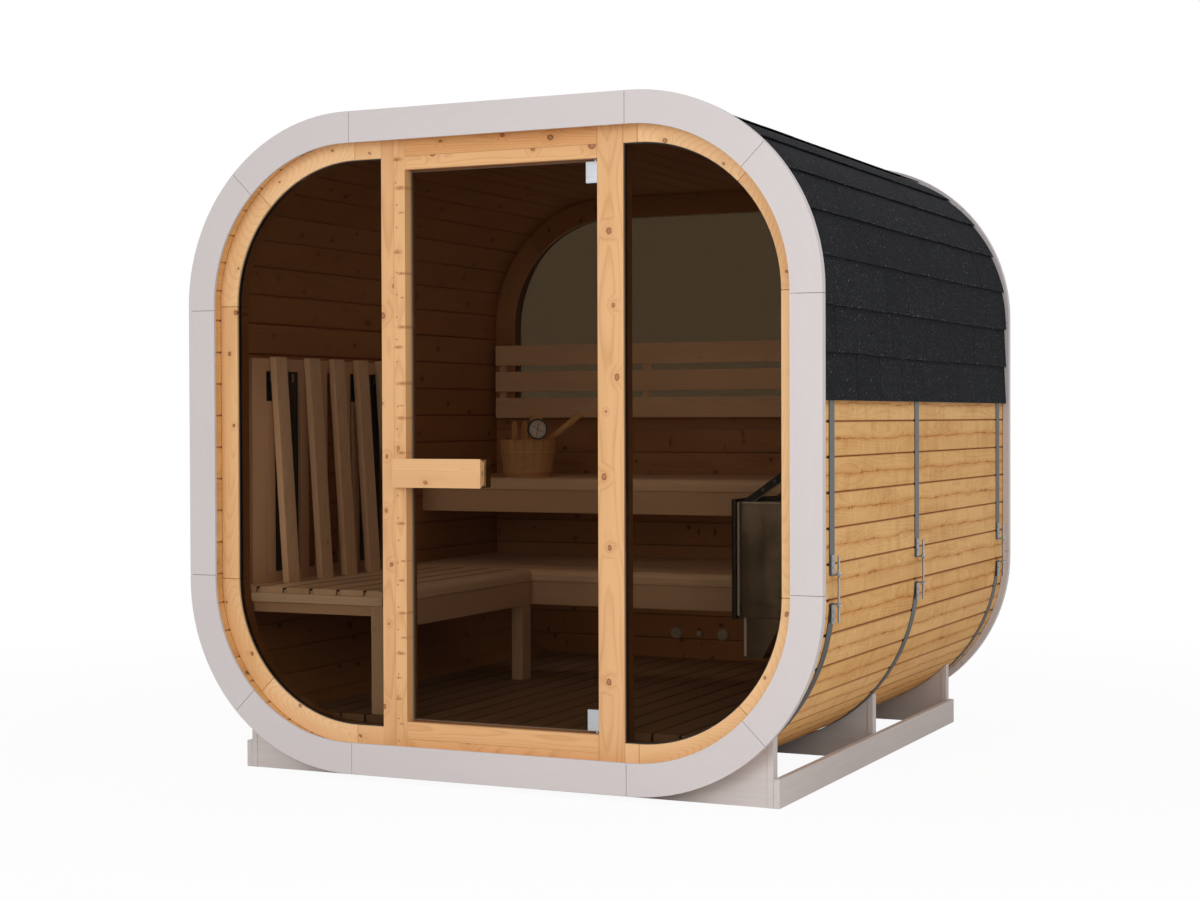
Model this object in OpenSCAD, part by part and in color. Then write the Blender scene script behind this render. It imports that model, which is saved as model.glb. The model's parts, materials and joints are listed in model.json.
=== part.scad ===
// Cube sauna: a rounded timber shell on three cradles, with a glazed front and one glass door.
// Lengths are in millimetres. X runs across the front, Y goes in from the front, Z goes up.
// The sub-parts are drawn with y = 0 on the front trim's face and z = 0 under the trim,
// and place() moves each of them to the origin, which is under the middle of the cabin.

/* [Cabin] */
// Width over the trim rings
cabin_w = 2200; // [2000:10:2600]
// Height of the trim rings
cabin_h = 2110; // [1950:10:2400]
// Depth from the front trim's face to the rear trim's face
cabin_d = 2210; // [1900:10:2800]
// Outer corner radius of the trim rings
corner_r = 605; // [450:5:700]
// Thickness of the shell
wall_t = 60; // [40:1:80]
// Height of the trim rings above the ground
ground_gap = 18; // [5:1:40]

/* [Trim rings] */
// Width of a trim ring's face
trim_face = 100; // [80:1:130]
// Thickness of a trim ring's face plate
trim_plate = 10; // [6:1:16]
// Depth of a trim ring, with its lip round the shell
trim_depth = 28; // [20:1:50]
// How far a trim ring stands proud of the shell
trim_proud = 23; // [15:1:35]
// Width of the joints between the lengths of a trim ring
trim_joint = 1.2; // [0.8:0.1:2]

/* [Front glazing] */
// Distance of the timber frame behind the front trim's face
frame_setback = 62; // [40:1:90]
// Depth of the frame's timbers
frame_depth = 68; // [50:1:90]
// Width of the frame's timbers round the shell
frame_w = 65; // [50:1:90]
// Clear width of the doorway
door_gap_w = 672; // [600:1:760]
// Distance of the doorway's middle to the right of the cabin's middle
door_shift = 25; // [-60:1:60]
// Width of the two posts beside the doorway
post_w = 87; // [70:1:110]
// Height of the header above the doorway
header_h = 105; // [80:1:130]
// Height of the sill under the doorway
sill_h = 85; // [70:1:110]
// Thickness of every sheet of glass
glass_t = 8; // [6:1:12]
// Width of the black seal round the fixed glass
seal_w = 4; // [3:1:8]

/* [Door] */
// Distance of the door's glass behind the frame's face
door_setback = 34; // [26:1:44]
// Gap round the door's glass
door_clear = 6; // [5:1:9]
// Distance of the door's pivot from the glass's hinged edge
pivot_in = 13; // [10:1:16]
// Radius of the pivot pins
pivot_r = 6; // [4:0.5:8]
// Length of the outer door handle
handle_l = 318; // [220:1:360]
// Height of the door handles' blocks
handle_h = 92; // [60:1:110]
// Thickness of the door handles' blocks
handle_t = 27; // [20:1:32]
// Height of the handles' middle above the sill's top
handle_z = 793; // [700:1:900]

/* [Shell fittings] */
// Width of a steel band
band_w = 45; // [30:1:60]
// Thickness of a steel band
band_t = 1.5; // [1:0.1:3]
// Distance from the front trim's face to the front band's middle
band_front = 147; // [140:1:200]
// Distance of the middle band in front of the cabin's middle
band_middle = 81; // [50:1:200]
// Distance from the rear trim's face to the rear band's middle
band_rear = 112; // [70:1:180]
// Height of the tensioners' middle
tension_z = 629; // [560:1:800]
// Distance between a tensioner's two brackets
bracket_gap = 82; // [60:1:110]
// How far a tensioner's rod stands out from the band
rod_out = 20; // [14:1:26]
// Length of a tensioner's rod
rod_l = 197; // [150:1:240]
// Radius of a tensioner's rod
rod_r = 4; // [3:0.5:6]
// Thickness of the roofing
roof_t = 13; // [6:1:16]
// Height of the roofing's lower edge
roof_z = 1183; // [1000:1:1400]

/* [Base] */
// Thickness of a cradle board
cradle_t = 31; // [25:1:45]
// Half length of a cradle board
cradle_half = 917; // [800:1:960]
// Height of a cradle board's ends above the ground
cradle_h = 219; // [180:1:240]
// Width of the strip along each end of a cradle board
cradle_end = 19; // [15:1:40]
// How far the end strips stand proud of a cradle board
cradle_step = 3; // [1:0.5:6]
// Distance from the front trim's face to the front cradle board
cradle_front_in = 87; // [40:1:87]
// Distance of the middle cradle board in front of the cabin's middle
cradle_middle_in = 53; // [10:1:55]
// Distance from the rear trim's face to the rear cradle board
cradle_rear_in = 219; // [180:1:260]
// Thickness of a side rail
rail_t = 20; // [15:1:35]
// Height of a side rail
rail_h = 87; // [60:1:120]

/* [Room] */
// Height of the floor's top above the trim's foot
floor_z = 172; // [150:1:200]
// Thickness of the floor
floor_t = 28; // [20:1:40]
// Distance from the rear trim's face to the rear wall's inner face
rear_in = 200; // [150:1:280]
// Thickness of the rear wall
rear_t = 45; // [40:1:70]
// Height of the rear wall's boarded lower part
rear_board_z = 1180; // [1145:1:1210]
// Width of the rear window's frame
rear_frame_w = 85; // [50:1:95]

/* [Benches] */
// Height of the lower benches' tops
low_z = 575; // [540:1:620]
// Height of the upper bench's top
high_z = 905; // [860:1:960]
// Depth of the lower rear bench, to the rear wall
low_depth = 810; // [720:1:880]
// Depth of the upper bench, to the rear wall
high_depth = 620; // [520:1:700]
// Distance of the left bench's right edge to the left of the cabin's middle
left_x = 440; // [380:1:520]
// Thickness of the bench slats
slat_t = 28; // [20:1:35]
// Width of a bench slat
slat_w = 96; // [60:1:120]
// Gap between bench slats
slat_gap = 8; // [5:1:15]
// Width of the rounded board along a bench's edge
nose_w = 66; // [50:1:100]
// Thickness of the rounded board along a bench's edge
nose_t = 44; // [40:1:50]
// Radius of the rounded board's upper edge
nose_r = 24; // [10:1:30]
// Height of the apron under the rounded board
apron_h = 86; // [60:1:110]
// Thickness of an apron
apron_t = 26; // [18:1:35]
// Thickness of the bearers that carry the slats
bearer_t = 45; // [30:1:60]
// Depth of a bench leg along the bench
leg_w = 68; // [50:1:90]

/* [Backrest] */
// Height of a backrest board
back_h = 83; // [60:1:100]
// Distance from one backrest board to the next
back_pitch = 108; // [101:1:120]
// Height of the lowest backrest board's foot
back_z = 1134; // [1050:1:1180]
// Thickness of a backrest board
back_t = 22; // [15:1:30]
// Thickness of the battens behind the backrest
batten_t = 24; // [15:1:40]
// Width of the battens behind the backrest
batten_w = 26; // [20:1:60]

/* [Heat screen] */
// Distance from the front trim's face to the screen's front post
screen_y = 200; // [150:1:240]
// Length of the screen along the wall
screen_l = 910; // [880:1:930]
// Height of the screen above the bench
screen_h = 765; // [650:1:850]
// Thickness of the screen's posts
screen_t = 28; // [20:1:40]
// Height of the screen's upper rail
screen_rail = 43; // [30:1:60]
// Height of the screen's lower rail
screen_foot = 35; // [25:1:60]
// Width of a leaning slat
lean_w = 70; // [45:1:80]
// Thickness of a leaning slat
lean_t = 24; // [15:1:30]
// How far a leaning slat's foot stands out from its head
lean_out = 50; // [30:1:80]
// Thickness of a heat panel
panel_t = 20; // [12:1:25]

/* [Heater] */
// Depth of the heater out from the right wall
heater_out = 395; // [320:5:450]
// Width of the heater along the wall
heater_w = 300; // [220:5:400]
// Height of the heater's casing
heater_h = 370; // [300:5:500]
// Height of the lower box under the casing
heater_box_h = 130; // [90:5:160]
// Height of the lower box above the floor
heater_z = 196; // [100:2:300]
// Distance from the front trim's face to the heater's near side
heater_y = 500; // [400:5:600]
// Thickness of the heater's front cover
cover_t = 14; // [8:1:20]
// Gap between the heater's casing and the wall
heater_gap = 30; // [20:1:50]
// How far the guard rises towards the wall
guard_rise = 160; // [100:5:200]

/* [Small things] */
// Height of the pail
pail_h = 144; // [120:1:200]
// Outer radius of the pail at its rim
pail_r1 = 112; // [100:1:130]
// Outer radius of the pail at its foot
pail_r0 = 91; // [80:1:98]
// Thickness of the pail's staves
stave_t = 10; // [6:1:14]
// Distance from the left wall to the pail's middle
pail_x = 377; // [250:1:900]
// Distance from the upper bench's edge to the pail's middle
pail_y = 170; // [130:1:300]
// Height of the vents above the trim's foot
vent_z = 272; // [250:1:350]

/* [Hidden] */

$fn = 96;
seat = 0.3;                                   // gap where curved faces meet
half_w = cabin_w / 2;
shell_half = half_w - trim_proud;             // outer half width of the shell
shell_low = trim_proud;                       // underside of the shell
shell_high = cabin_h - trim_proud;            // top of the shell
shell_r = corner_r - trim_proud;              // outer corner radius of the shell
room_half = shell_half - wall_t;
room_low = shell_low + wall_t;
room_high = shell_high - wall_t;
room_r = shell_r - wall_t;
shell_front = trim_plate;
shell_back = cabin_d - trim_plate;
corner_x = half_w - corner_r;                 // centres of the rounded corners
corner_low = corner_r;
corner_high = cabin_h - corner_r;
rear_y = cabin_d - rear_in;                   // inner face of the rear wall
low_y = rear_y - low_depth;                   // front of the lower rear bench
high_y = rear_y - high_depth;                 // front of the upper bench
BANDS = [band_front, cabin_d / 2 - band_middle, cabin_d - band_rear];
cradle_y1 = cradle_front_in;                  // front faces of the cradle boards
cradle_y2 = cabin_d / 2 - cradle_middle_in;
cradle_y3 = cabin_d - cradle_rear_in - cradle_t;
band_in = seat;
band_out = seat + band_t;

frame_y = frame_setback;
frame_back = frame_y + frame_depth;
door_l = door_shift - door_gap_w / 2;
door_r = door_shift + door_gap_w / 2;
header_z = room_high - header_h;
sill_z = room_low + sill_h;

door_y = frame_y + door_setback;              // front face of the door's glass
glass_x0 = door_l + door_clear;
glass_x1 = door_r - door_clear - 2;
glass_z0 = sill_z + door_clear;
glass_z1 = header_z - door_clear;
pivot_x = glass_x1 - pivot_in;
pivot_y = door_y + glass_t / 2;
block_w = 42;                                 // a hinge block across the glass
block_h = 66;                                 // its height
block_t = 20;                                 // its thickness, over both faces of the glass
pin_depth = 25;                               // how deep a pin goes into the frame
pin_gap = 0.05;                               // running clearance of a pin

handle_low = sill_z + handle_z - handle_h / 2;
handle_y = frame_y - 5 - handle_t;            // front face of the outer handle
handle_over = 34;                             // how far the outer handle covers the post
handle_x = door_l - handle_over;
handle_cut = 12;                              // bevel along the outer handle's back
handle_pin_r = 10;                            // pins that hold the outer handle to the glass
handle_pins = [0.35, 0.8];                    // their places, as shares of its length
handle_inset = 30;                            // distance of the inner handle from the post

pane_in = 10;                                 // depth of fixed glass behind its frame's face
fixed_y = frame_y + pane_in;                  // front face of the fixed glass
frame_joint = 0.8;                            // joints between the frame's timbers
trim_tail = 15;                               // how far curved trim runs past the corner
rear_rail_h = 20;                             // rail under the rear glass

bench_gap = 5;                                // distance of the left bench from the frame
least_slat = 25;                              // narrowest slat that is worth fitting
apron_in = 3;                                 // how far an apron stands behind the edge
bearer_h = 20;                                // depth of a bearer below the rounded board
front_bar_h = 25;                             // bars under the left bench's front
lip = 6;                                      // small steps between one board and the next
back_in = 22;                                 // gap between the backrest and a wall
batten_in = 30;                               // gap between the end battens and a wall

// The heat screen's posts: place along the screen, as a share of its length, and width
screen_posts = [[0, 85], [0.326, 48], [0.462, 48], [0.632, 48], [0.929, 65]];
// The leaning slats' places along the screen, as shares of its length
lean_places = [0.115, 0.348, 0.523, 0.701, 0.87];
// The two bays that hold heat panels, as shares of the screen's length
panel_bays = [[0.1, 0.32], [0.69, 0.92]];

heater_x = room_half - heater_out;            // front of the heater's cover
heater_low = floor_z + heater_z;
case_x0 = heater_x + cover_t;                 // front of the heater's casing
case_x1 = room_half - heater_gap;             // back of the heater's casing
case_r = 24;                                  // radius of the casing's front corners
case_z = heater_low + heater_box_h;           // foot of the casing
box_in = 20;                                  // how far the lower box stands in
box_foot = 64;                                // depth of the lower box at its foot
box_top = 139;                                // depth of the lower box at its top
bracket_w = 40;                               // wall brackets behind the heater
bracket_share = 0.2;                          // their distance from the casing's sides
guard_bar_w = 10;
guard_bar_h = 25;
guard_sheet = 4;                              // thickness of the sheet between the bars
guard_flat = 0.3;                             // share of the guard that runs level at the wall

pail_mid_x = -room_half + pail_x;
hoop_h = 10;
hoop_t = 3;
pail_base = 15;                               // thickness of the pail's bottom
ear_w = 70;                                   // width of a pair of prongs on the rim
ear_front_h = 98;
ear_rear_h = 68;
ear_angle = -45;                              // turn of the front pair of prongs
hoop_places = [0.12, 0.63];                   // the hoops' heights, as shares of the pail's
bowl_r = 25;
bowl_h = 36;
bowl_place = [-50, -25];                      // the ladle's bowl, from the pail's middle
ladle_l = 340;
ladle_r = 9;
ladle_lean = 51.5;                            // lean of the ladle's handle
ladle_turn = 22;                              // direction in which the handle leans
dial_r = 37;
dial_t = 14;
vent_t = 18;
vent_places = [[-200, 24], [-100, 13], [0, 24]]; // from the cabin's middle, and their radii

bracket_leg = 60;                             // length of a bracket along the band
bracket_t = 3;
bracket_w2 = 14;                              // half width of a bracket
nut_r = 8;
nut_h = 7;

module place() { translate([0, -cabin_d / 2, ground_gap]) children(); }

// An upright rounded rectangle of half width w from z0 to z1, from y0 to y1
module rounded(w, z0, z1, r, y0, y1) {
    translate([0, y1, 0]) rotate([90, 0, 0]) linear_extrude(y1 - y0) union() {
        translate([-w, z0 + r]) square([2 * w, z1 - z0 - 2 * r]);
        translate([-w + r, z0]) square([2 * w - 2 * r, z1 - z0]);
        for (x = [-w + r, w - r], z = [z0 + r, z1 - r]) translate([x, z]) circle(r);
    }
}

module block(x0, x1, y0, y1, z0, z1) {
    translate([x0, y0, z0]) cube([x1 - x0, y1 - y0, z1 - z0]);
}

// A profile drawn in Y and Z, carried along X from x0 to x1
module along_x(x0, x1) {
    translate([x0, 0, 0]) rotate([90, 0, 90]) linear_extrude(x1 - x0) children();
}

// A profile drawn in X and Z, carried along Y from y0 to y1
module along_y(y0, y1) {
    translate([0, y1, 0]) rotate([90, 0, 0]) linear_extrude(y1 - y0) children();
}

// The shell's outline grown by g: everything inside it
module shell_outer(g, y0, y1) {
    rounded(shell_half + g, shell_low - g, shell_high + g, shell_r + g, y0, y1);
}

// The room's outline shrunk by g
module room(g, y0, y1) {
    rounded(room_half - g, room_low + g, room_high - g, room_r - g, y0, y1);
}

// Thin slots across a ring where its lengths meet: at both ends and in the middle of each
// rounded corner. tail is how far the curved lengths run on past the corner.
module ring_slots(y0, y1, tail, gap) {
    for (corner = [0 : 3], end = [0 : 2]) {
        x = corner == 0 || corner == 3 ? corner_x : -corner_x;
        z = corner < 2 ? corner_high : corner_low;
        translate([x, 0, z]) rotate([0, -90 * corner - 45 * end, 0])
            block(corner_r / 2, corner_r * 1.2, y0, y1,
                (end - 1) * tail - gap / 2, (end - 1) * tail + gap / 2);
    }
}

/* ---- Base ---- */

module band_spaces() {
    for (y = BANDS) shell_outer(band_out + seat, y - band_w / 2 - 1, y + band_w / 2 + 1);
}

module cradle(y) {
    top = cradle_h - ground_gap;
    color("lightgray") difference() {
        union() {
            block(-cradle_half, cradle_half, y, y + cradle_t, -ground_gap, top);
            for (x = [-cradle_half, cradle_half - cradle_end])
                block(x, x + cradle_end, y - cradle_step, y + cradle_t + cradle_step,
                    -ground_gap, top);
        }
        shell_outer(seat, y - cradle_step - 1, y + cradle_t + cradle_step + 1);
        band_spaces();
    }
}

module rail(side) {
    x = side < 0 ? -cradle_half - rail_t : cradle_half;
    color("lightgray") block(x, x + rail_t, cradle_y1 - cradle_step,
        cradle_y3 + cradle_t + cradle_step, -ground_gap, rail_h - ground_gap);
}

/* ---- Shell ---- */

module shell_flat(side) {
    x0 = side < 0 ? -shell_half : room_half;
    color("burlywood") block(x0, x0 + wall_t, shell_front, shell_back, corner_low, corner_high);
}

module shell_level(z) {
    color("burlywood") block(-corner_x, corner_x, shell_front, shell_back, z, z + wall_t);
}

module shell_corner(side, top) {
    x = side * corner_x;
    z = top ? corner_high : corner_low;
    reach = corner_r + 1;
    color("burlywood") intersection() {
        translate([x, shell_back, z]) rotate([90, 0, 0]) difference() {
            cylinder(h = shell_back - shell_front, r = shell_r, $fn = 128);
            translate([0, 0, -1])
                cylinder(h = shell_back - shell_front + 2, r = room_r, $fn = 128);
        }
        block(side < 0 ? x - reach : x, side < 0 ? x : x + reach,
            shell_front - 1, shell_back + 1, top ? z : z - reach, top ? z + reach : z);
    }
}

module floor_boards() {
    color("peru") intersection() {
        block(-room_half, room_half, frame_back, rear_y, floor_z - floor_t, floor_z);
        room(seat, frame_back - 1, rear_y + 1);
    }
}

/* ---- Trim ---- */

// A trim ring whose face plate starts at plate_y and whose lip round the shell starts at lip_y
module trim(plate_y, lip_y) {
    color("gainsboro") difference() {
        union() {
            difference() {
                rounded(half_w, 0, cabin_h, corner_r, plate_y, plate_y + trim_plate);
                rounded(half_w - trim_face, trim_face, cabin_h - trim_face,
                    corner_r - trim_face, plate_y - 1, plate_y + trim_plate + 1);
            }
            difference() {
                rounded(half_w, 0, cabin_h, corner_r, lip_y, lip_y + trim_depth);
                shell_outer(seat, lip_y - 1, lip_y + trim_depth + 1);
            }
        }
        ring_slots(lip_y - 1, lip_y + trim_depth + 1, trim_tail, trim_joint);
    }
}

/* ---- Front glazing ---- */

// Timbers round the room's outline, w wide, from y0 to y1
module frame_round(y0, y1, w) {
    difference() {
        room(seat, y0, y1);
        room(w, y0 - 1, y1 + 1);
        ring_slots(y0 - 1, y1 + 1, 0, frame_joint);
    }
}

module front_frame_round() {
    color("burlywood") difference() {
        frame_round(frame_y, frame_back, frame_w);
        block(door_l - post_w, door_r + post_w, frame_y - 1, frame_back + 1,
            room_low - 1, room_high + 1);
    }
}

module post(x) {
    color("burlywood") block(x, x + post_w, frame_y, frame_back, room_low, room_high);
}

module pin_bore(z) {
    translate([pivot_x, pivot_y, z]) cylinder(h = pin_depth + 2, r = pivot_r + pin_gap);
}

module header() {
    color("burlywood") difference() {
        block(door_l, door_r, frame_y, frame_back, header_z, room_high);
        pin_bore(header_z - 2);
    }
}

module sill() {
    color("burlywood") difference() {
        block(door_l, door_r, frame_y, frame_back, room_low, sill_z);
        pin_bore(sill_z - pin_depth);
    }
}

// The opening beside the doorway, shrunk by g
module pane_space(left, g, y0, y1) {
    x0 = left ? -half_w : door_r + post_w + g;
    x1 = left ? door_l - post_w - g : half_w;
    intersection() {
        room(frame_w + g, y0, y1);
        block(x0, x1, y0 - 1, y1 + 1, 0, cabin_h);
    }
}

module glass_fixed(left) {
    color("dimgray") pane_space(left, seal_w, fixed_y, fixed_y + glass_t);
}

module glass_seals() {
    lap = 2;
    color("black") for (left = [true, false]) difference() {
        pane_space(left, seat, fixed_y - lap, fixed_y + glass_t + lap);
        pane_space(left, seal_w - seat, fixed_y - lap - 1, fixed_y + glass_t + lap + 1);
    }
}

/* ---- Door ---- */

module door_glass() {
    color("dimgray") block(glass_x0, glass_x1, door_y, door_y + glass_t, glass_z0, glass_z1);
}

module hinge_block(z) {
    x1 = glass_x1 - 1;
    color("silver") difference() {
        block(x1 - block_w, x1, pivot_y - block_t / 2, pivot_y + block_t / 2, z, z + block_h);
        block(x1 - block_w - 1, x1 + 1, door_y, door_y + glass_t, z - 1, z + block_h + 1);
    }
}

module door_hinges() {
    hinge_block(glass_z0);
    hinge_block(glass_z1 - block_h);
}

module door_pins() {
    pin_l = pin_depth - 2 + door_clear;
    color("silver") for (z = [sill_z - pin_depth + 2, glass_z1])
        translate([pivot_x, pivot_y, z]) cylinder(h = pin_l, r = pivot_r);
}

module door_handle_outer() {
    z0 = handle_low;
    z1 = handle_low + handle_h;
    back = handle_y + handle_t;
    color("burlywood") {
        along_x(handle_x, handle_x + handle_l)
            polygon([[handle_y, z0], [handle_y, z1], [back - handle_cut, z1],
                [back, z1 - handle_cut], [back, z0 + handle_cut], [back - handle_cut, z0]]);
        for (share = handle_pins)
            translate([handle_x + handle_l * share, door_y, (z0 + z1) / 2]) rotate([90, 0, 0])
                cylinder(h = door_y - back, r = handle_pin_r);
    }
}

module door_handle_inner() {
    color("burlywood") block(door_l + handle_inset, handle_x + handle_l - handle_inset / 2,
        door_y + glass_t, door_y + glass_t + handle_t, handle_low, handle_low + handle_h);
}

/* ---- Rear wall ---- */

module rear_wall_boards() {
    color("burlywood") intersection() {
        block(-room_half, room_half, rear_y, rear_y + rear_t, room_low, rear_board_z);
        room(seat, rear_y - 1, rear_y + rear_t + 1);
    }
}

module rear_frame_round() {
    color("burlywood") intersection() {
        frame_round(rear_y, rear_y + rear_t, rear_frame_w);
        block(-half_w, half_w, rear_y - 1, rear_y + rear_t + 1, rear_board_z, cabin_h);
    }
}

module rear_rail() {
    color("burlywood") block(-room_half + rear_frame_w, room_half - rear_frame_w,
        rear_y, rear_y + rear_t, rear_board_z, rear_board_z + rear_rail_h);
}

module rear_glass() {
    y = rear_y + pane_in;
    color("dimgray") intersection() {
        room(rear_frame_w + seat, y, y + glass_t);
        block(-half_w, half_w, rear_y, rear_y + rear_t, rear_board_z + rear_rail_h, cabin_h);
    }
}

/* ---- Benches ---- */

// A slat cut to fit is wider than least_slat, so n slats of one width stand before it
function slat_count(depth) = ceil((depth - least_slat) / (slat_w + slat_gap));

// A bench top's profile, from its rounded edge at 0 back to depth, with its top at z
module bench_profile(depth, z) {
    first = nose_w + slat_gap;
    n = slat_count(depth - first);
    translate([0, z - nose_t]) union() {
        translate([nose_r, 0]) square([nose_w - nose_r, nose_t]);
        square([nose_w, nose_t - nose_r]);
        translate([nose_r, nose_t - nose_r]) circle(nose_r);
    }
    for (i = [0 : n - 1]) {
        a = first + i * (slat_w + slat_gap);
        b = i == n - 1 ? depth : a + slat_w;
        translate([a, z - slat_t]) square([b - a, slat_t]);
    }
}

// The apron under a bench's edge, with its front at y
module apron(x0, x1, y, z) {
    block(x0, x1, y, y + apron_t, z - nose_t - apron_h, z - nose_t);
}

// The bearers under a bench's slats, along both walls and along the rear wall
module rear_bearers(y, z) {
    low = z - nose_t - bearer_h;
    for (x = [-room_half, room_half - bearer_t])
        block(x, x + bearer_t, y + nose_w, rear_y - seat, low, z - slat_t);
    block(-room_half, room_half, rear_y - seat - bearer_t, rear_y - seat, low, z - slat_t);
}

module bench_across(y, z) {
    color("tan") intersection() {
        union() {
            along_x(-room_half, room_half) translate([y, 0])
                bench_profile(rear_y - seat - y, z);
            apron(-room_half, room_half, y + apron_in, z);
            rear_bearers(y, z);
        }
        room(seat, frame_back, rear_y);
    }
}

module bench_left() {
    y0 = frame_back + bench_gap;
    y1 = low_y - slat_gap;
    x1 = -left_x;
    low = low_z - slat_t;
    color("tan") intersection() {
        union() {
            along_y(y0, y1) translate([x1, 0]) mirror([1, 0])
                bench_profile(room_half + x1, low_z);
            block(x1 - apron_in - apron_t, x1 - apron_in, y0, y1,
                low_z - nose_t - apron_h, low_z - nose_t);
            block(-room_half, x1 - apron_in, y0 - lip, y0 + bearer_t, low - front_bar_h, low);
            block(-room_half, x1 - apron_in, y0 + lip, y0 + bearer_t,
                low - 2 * front_bar_h - lip, low - front_bar_h);
            block(-room_half, x1 - apron_in, y1 - bearer_t, y1,
                low_z - nose_t - bearer_h, low);
        }
        room(seat, frame_back, rear_y);
    }
}

module bench_legs() {
    x1 = -left_x - apron_in;
    y0 = frame_back + bench_gap + lip;
    color("tan") {
        block(x1 - apron_t - bearer_t / 2, x1, y0, y0 + bearer_t,
            floor_z, low_z - nose_t - apron_h);
        block(x1 - bearer_t, x1, low_y - slat_gap - leg_w, low_y - slat_gap,
            floor_z, low_z - nose_t - apron_h);
    }
}

module backrest() {
    y1 = rear_y - seat - batten_t;
    span = 2 * (room_half - batten_in) - batten_w;
    color("tan") {
        for (i = [0 : 2])
            block(-room_half + back_in, room_half - back_in, y1 - back_t, y1,
                back_z + i * back_pitch, back_z + i * back_pitch + back_h);
        for (i = [0 : 3]) translate([-room_half + batten_in + i * span / 3, 0, 0])
            block(0, batten_w, y1, rear_y - seat, back_z, back_z + 2 * back_pitch + back_h);
    }
}

/* ---- Heat screen on the left bench ---- */

module heat_screen_frame() {
    x = -room_half + seat;
    posts = [for (p = screen_posts) [screen_y + p[0] * screen_l, p[1]]];
    color("tan") intersection() {
        union() {
            for (p = posts)
                block(x, x + screen_t, p[0], p[0] + p[1], low_z, low_z + screen_h);
            for (bar = [[0, screen_foot], [screen_h - screen_rail, screen_rail]])
                block(x, x + screen_t, screen_y, posts[len(posts) - 1][0],
                    low_z + bar[0], low_z + bar[0] + bar[1]);
        }
        room(seat, 0, cabin_d);
    }
}

module heat_screen_slats() {
    x = -room_half + seat + screen_t;
    top = low_z + screen_h + lip;
    color("tan") for (place = lean_places) {
        y = screen_y + place * screen_l;
        along_y(y, y + lean_w) polygon([[x, top], [x + lean_t, top],
            [x + lean_t + lean_out, low_z], [x + lean_out, low_z]]);
    }
}

module heat_panels() {
    x = -room_half + seat;
    color("black") intersection() {
        for (bay = panel_bays)
            block(x, x + panel_t, screen_y + bay[0] * screen_l, screen_y + bay[1] * screen_l,
                low_z + screen_foot, low_z + screen_h - screen_rail);
        room(seat, 0, cabin_d);
    }
}

/* ---- Heater ---- */

module heater_case() {
    color("silver") {
        // the casing, with rounded front corners
        translate([0, 0, case_z]) linear_extrude(heater_h) union() {
            translate([case_x0 + case_r, heater_y])
                square([case_x1 - case_x0 - case_r, heater_w]);
            translate([case_x0, heater_y + case_r])
                square([case_x1 - case_x0, heater_w - 2 * case_r]);
            for (y = [heater_y + case_r, heater_y + heater_w - case_r])
                translate([case_x0 + case_r, y]) circle(case_r);
        }
        // the lower box, which draws in towards the room
        along_y(heater_y + box_in, heater_y + heater_w - box_in) translate([case_x0 + box_in, 0])
            polygon([[0, case_z], [0, heater_low], [box_foot, heater_low], [box_top, case_z]]);
        // the brackets on the wall
        for (y = [heater_y + heater_w * bracket_share,
                heater_y + heater_w * (1 - bracket_share) - bracket_w])
            block(case_x1, room_half - seat, y, y + bracket_w,
                case_z + heater_h / 2, case_z + heater_h / 2 + bracket_w);
    }
}

module heater_cover() {
    color("dimgray") block(heater_x, case_x0 - seat, heater_y + lip, heater_y + heater_w - lip,
        case_z - lip, case_z + heater_h + lip);
}

// The guard's side view: a strip h high that rises to the wall and ends level
module guard_strip(h) {
    x0 = case_x0 + case_r;
    x2 = case_x1 - (case_x1 - x0) * guard_flat;
    z = case_z + heater_h;
    top = z + guard_rise;
    polygon([[x0, z], [x0 + h * 1.6, z], [x2 + h * 0.3, top - h], [case_x1, top - h],
        [case_x1, top], [x2, top]]);
}

// Two rising bars above the casing, with a perforated sheet between them and at the wall
module heater_guard() {
    color("black") {
        for (y = [heater_y, heater_y + heater_w - guard_bar_w])
            along_y(y, y + guard_bar_w) guard_strip(guard_bar_h);
        along_y(heater_y + guard_bar_w, heater_y + heater_w - guard_bar_w)
            guard_strip(guard_sheet);
        block(case_x1 - guard_sheet, case_x1, heater_y, heater_y + heater_w,
            case_z + heater_h, case_z + heater_h + guard_rise);
    }
}

/* ---- Small things ---- */

module at_pail() { translate([pail_mid_x, high_y + pail_y, high_z]) children(); }

// The pail's outer radius at height z
function pail_r(z) = pail_r0 + (pail_r1 - pail_r0) * z / pail_h;

module pail_hoop(z) {
    translate([0, 0, z]) cylinder(h = hoop_h, r = pail_r(z) + hoop_t);
}

// Two prongs that stand up from the rim at angle a
module pail_ear(a, h) {
    rotate([0, 0, a]) intersection() {
        translate([0, 0, pail_h - hoop_h]) difference() {
            cylinder(h = h + hoop_h, r = pail_r1);
            translate([0, 0, -1]) cylinder(h = h + hoop_h + 2, r = pail_r1 - stave_t);
        }
        for (side = [-1, 1])
            translate([0, side * ear_w / 3 - ear_w / 6, pail_h - hoop_h])
                cube([pail_r1 + 1, ear_w / 3, h + hoop_h]);
    }
}

module bucket() {
    color("burlywood") at_pail() difference() {
        union() {
            cylinder(h = pail_h, r1 = pail_r0, r2 = pail_r1);
            for (share = hoop_places) pail_hoop(pail_h * share);
            pail_ear(ear_angle, ear_front_h);
            pail_ear(ear_angle + 180, ear_rear_h);
        }
        translate([0, 0, pail_base]) cylinder(h = pail_h, r1 = pail_r(pail_base) - stave_t,
            r2 = pail_r(pail_base) - stave_t + (pail_r1 - pail_r0));
    }
}

module ladle() {
    color("burlywood") at_pail() translate([bowl_place[0], bowl_place[1], pail_base + seat]) {
        cylinder(h = bowl_h, r = bowl_r);
        translate([0, 0, bowl_h / 2]) rotate([0, ladle_lean, ladle_turn])
            cylinder(h = ladle_l, r = ladle_r);
    }
}

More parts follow.
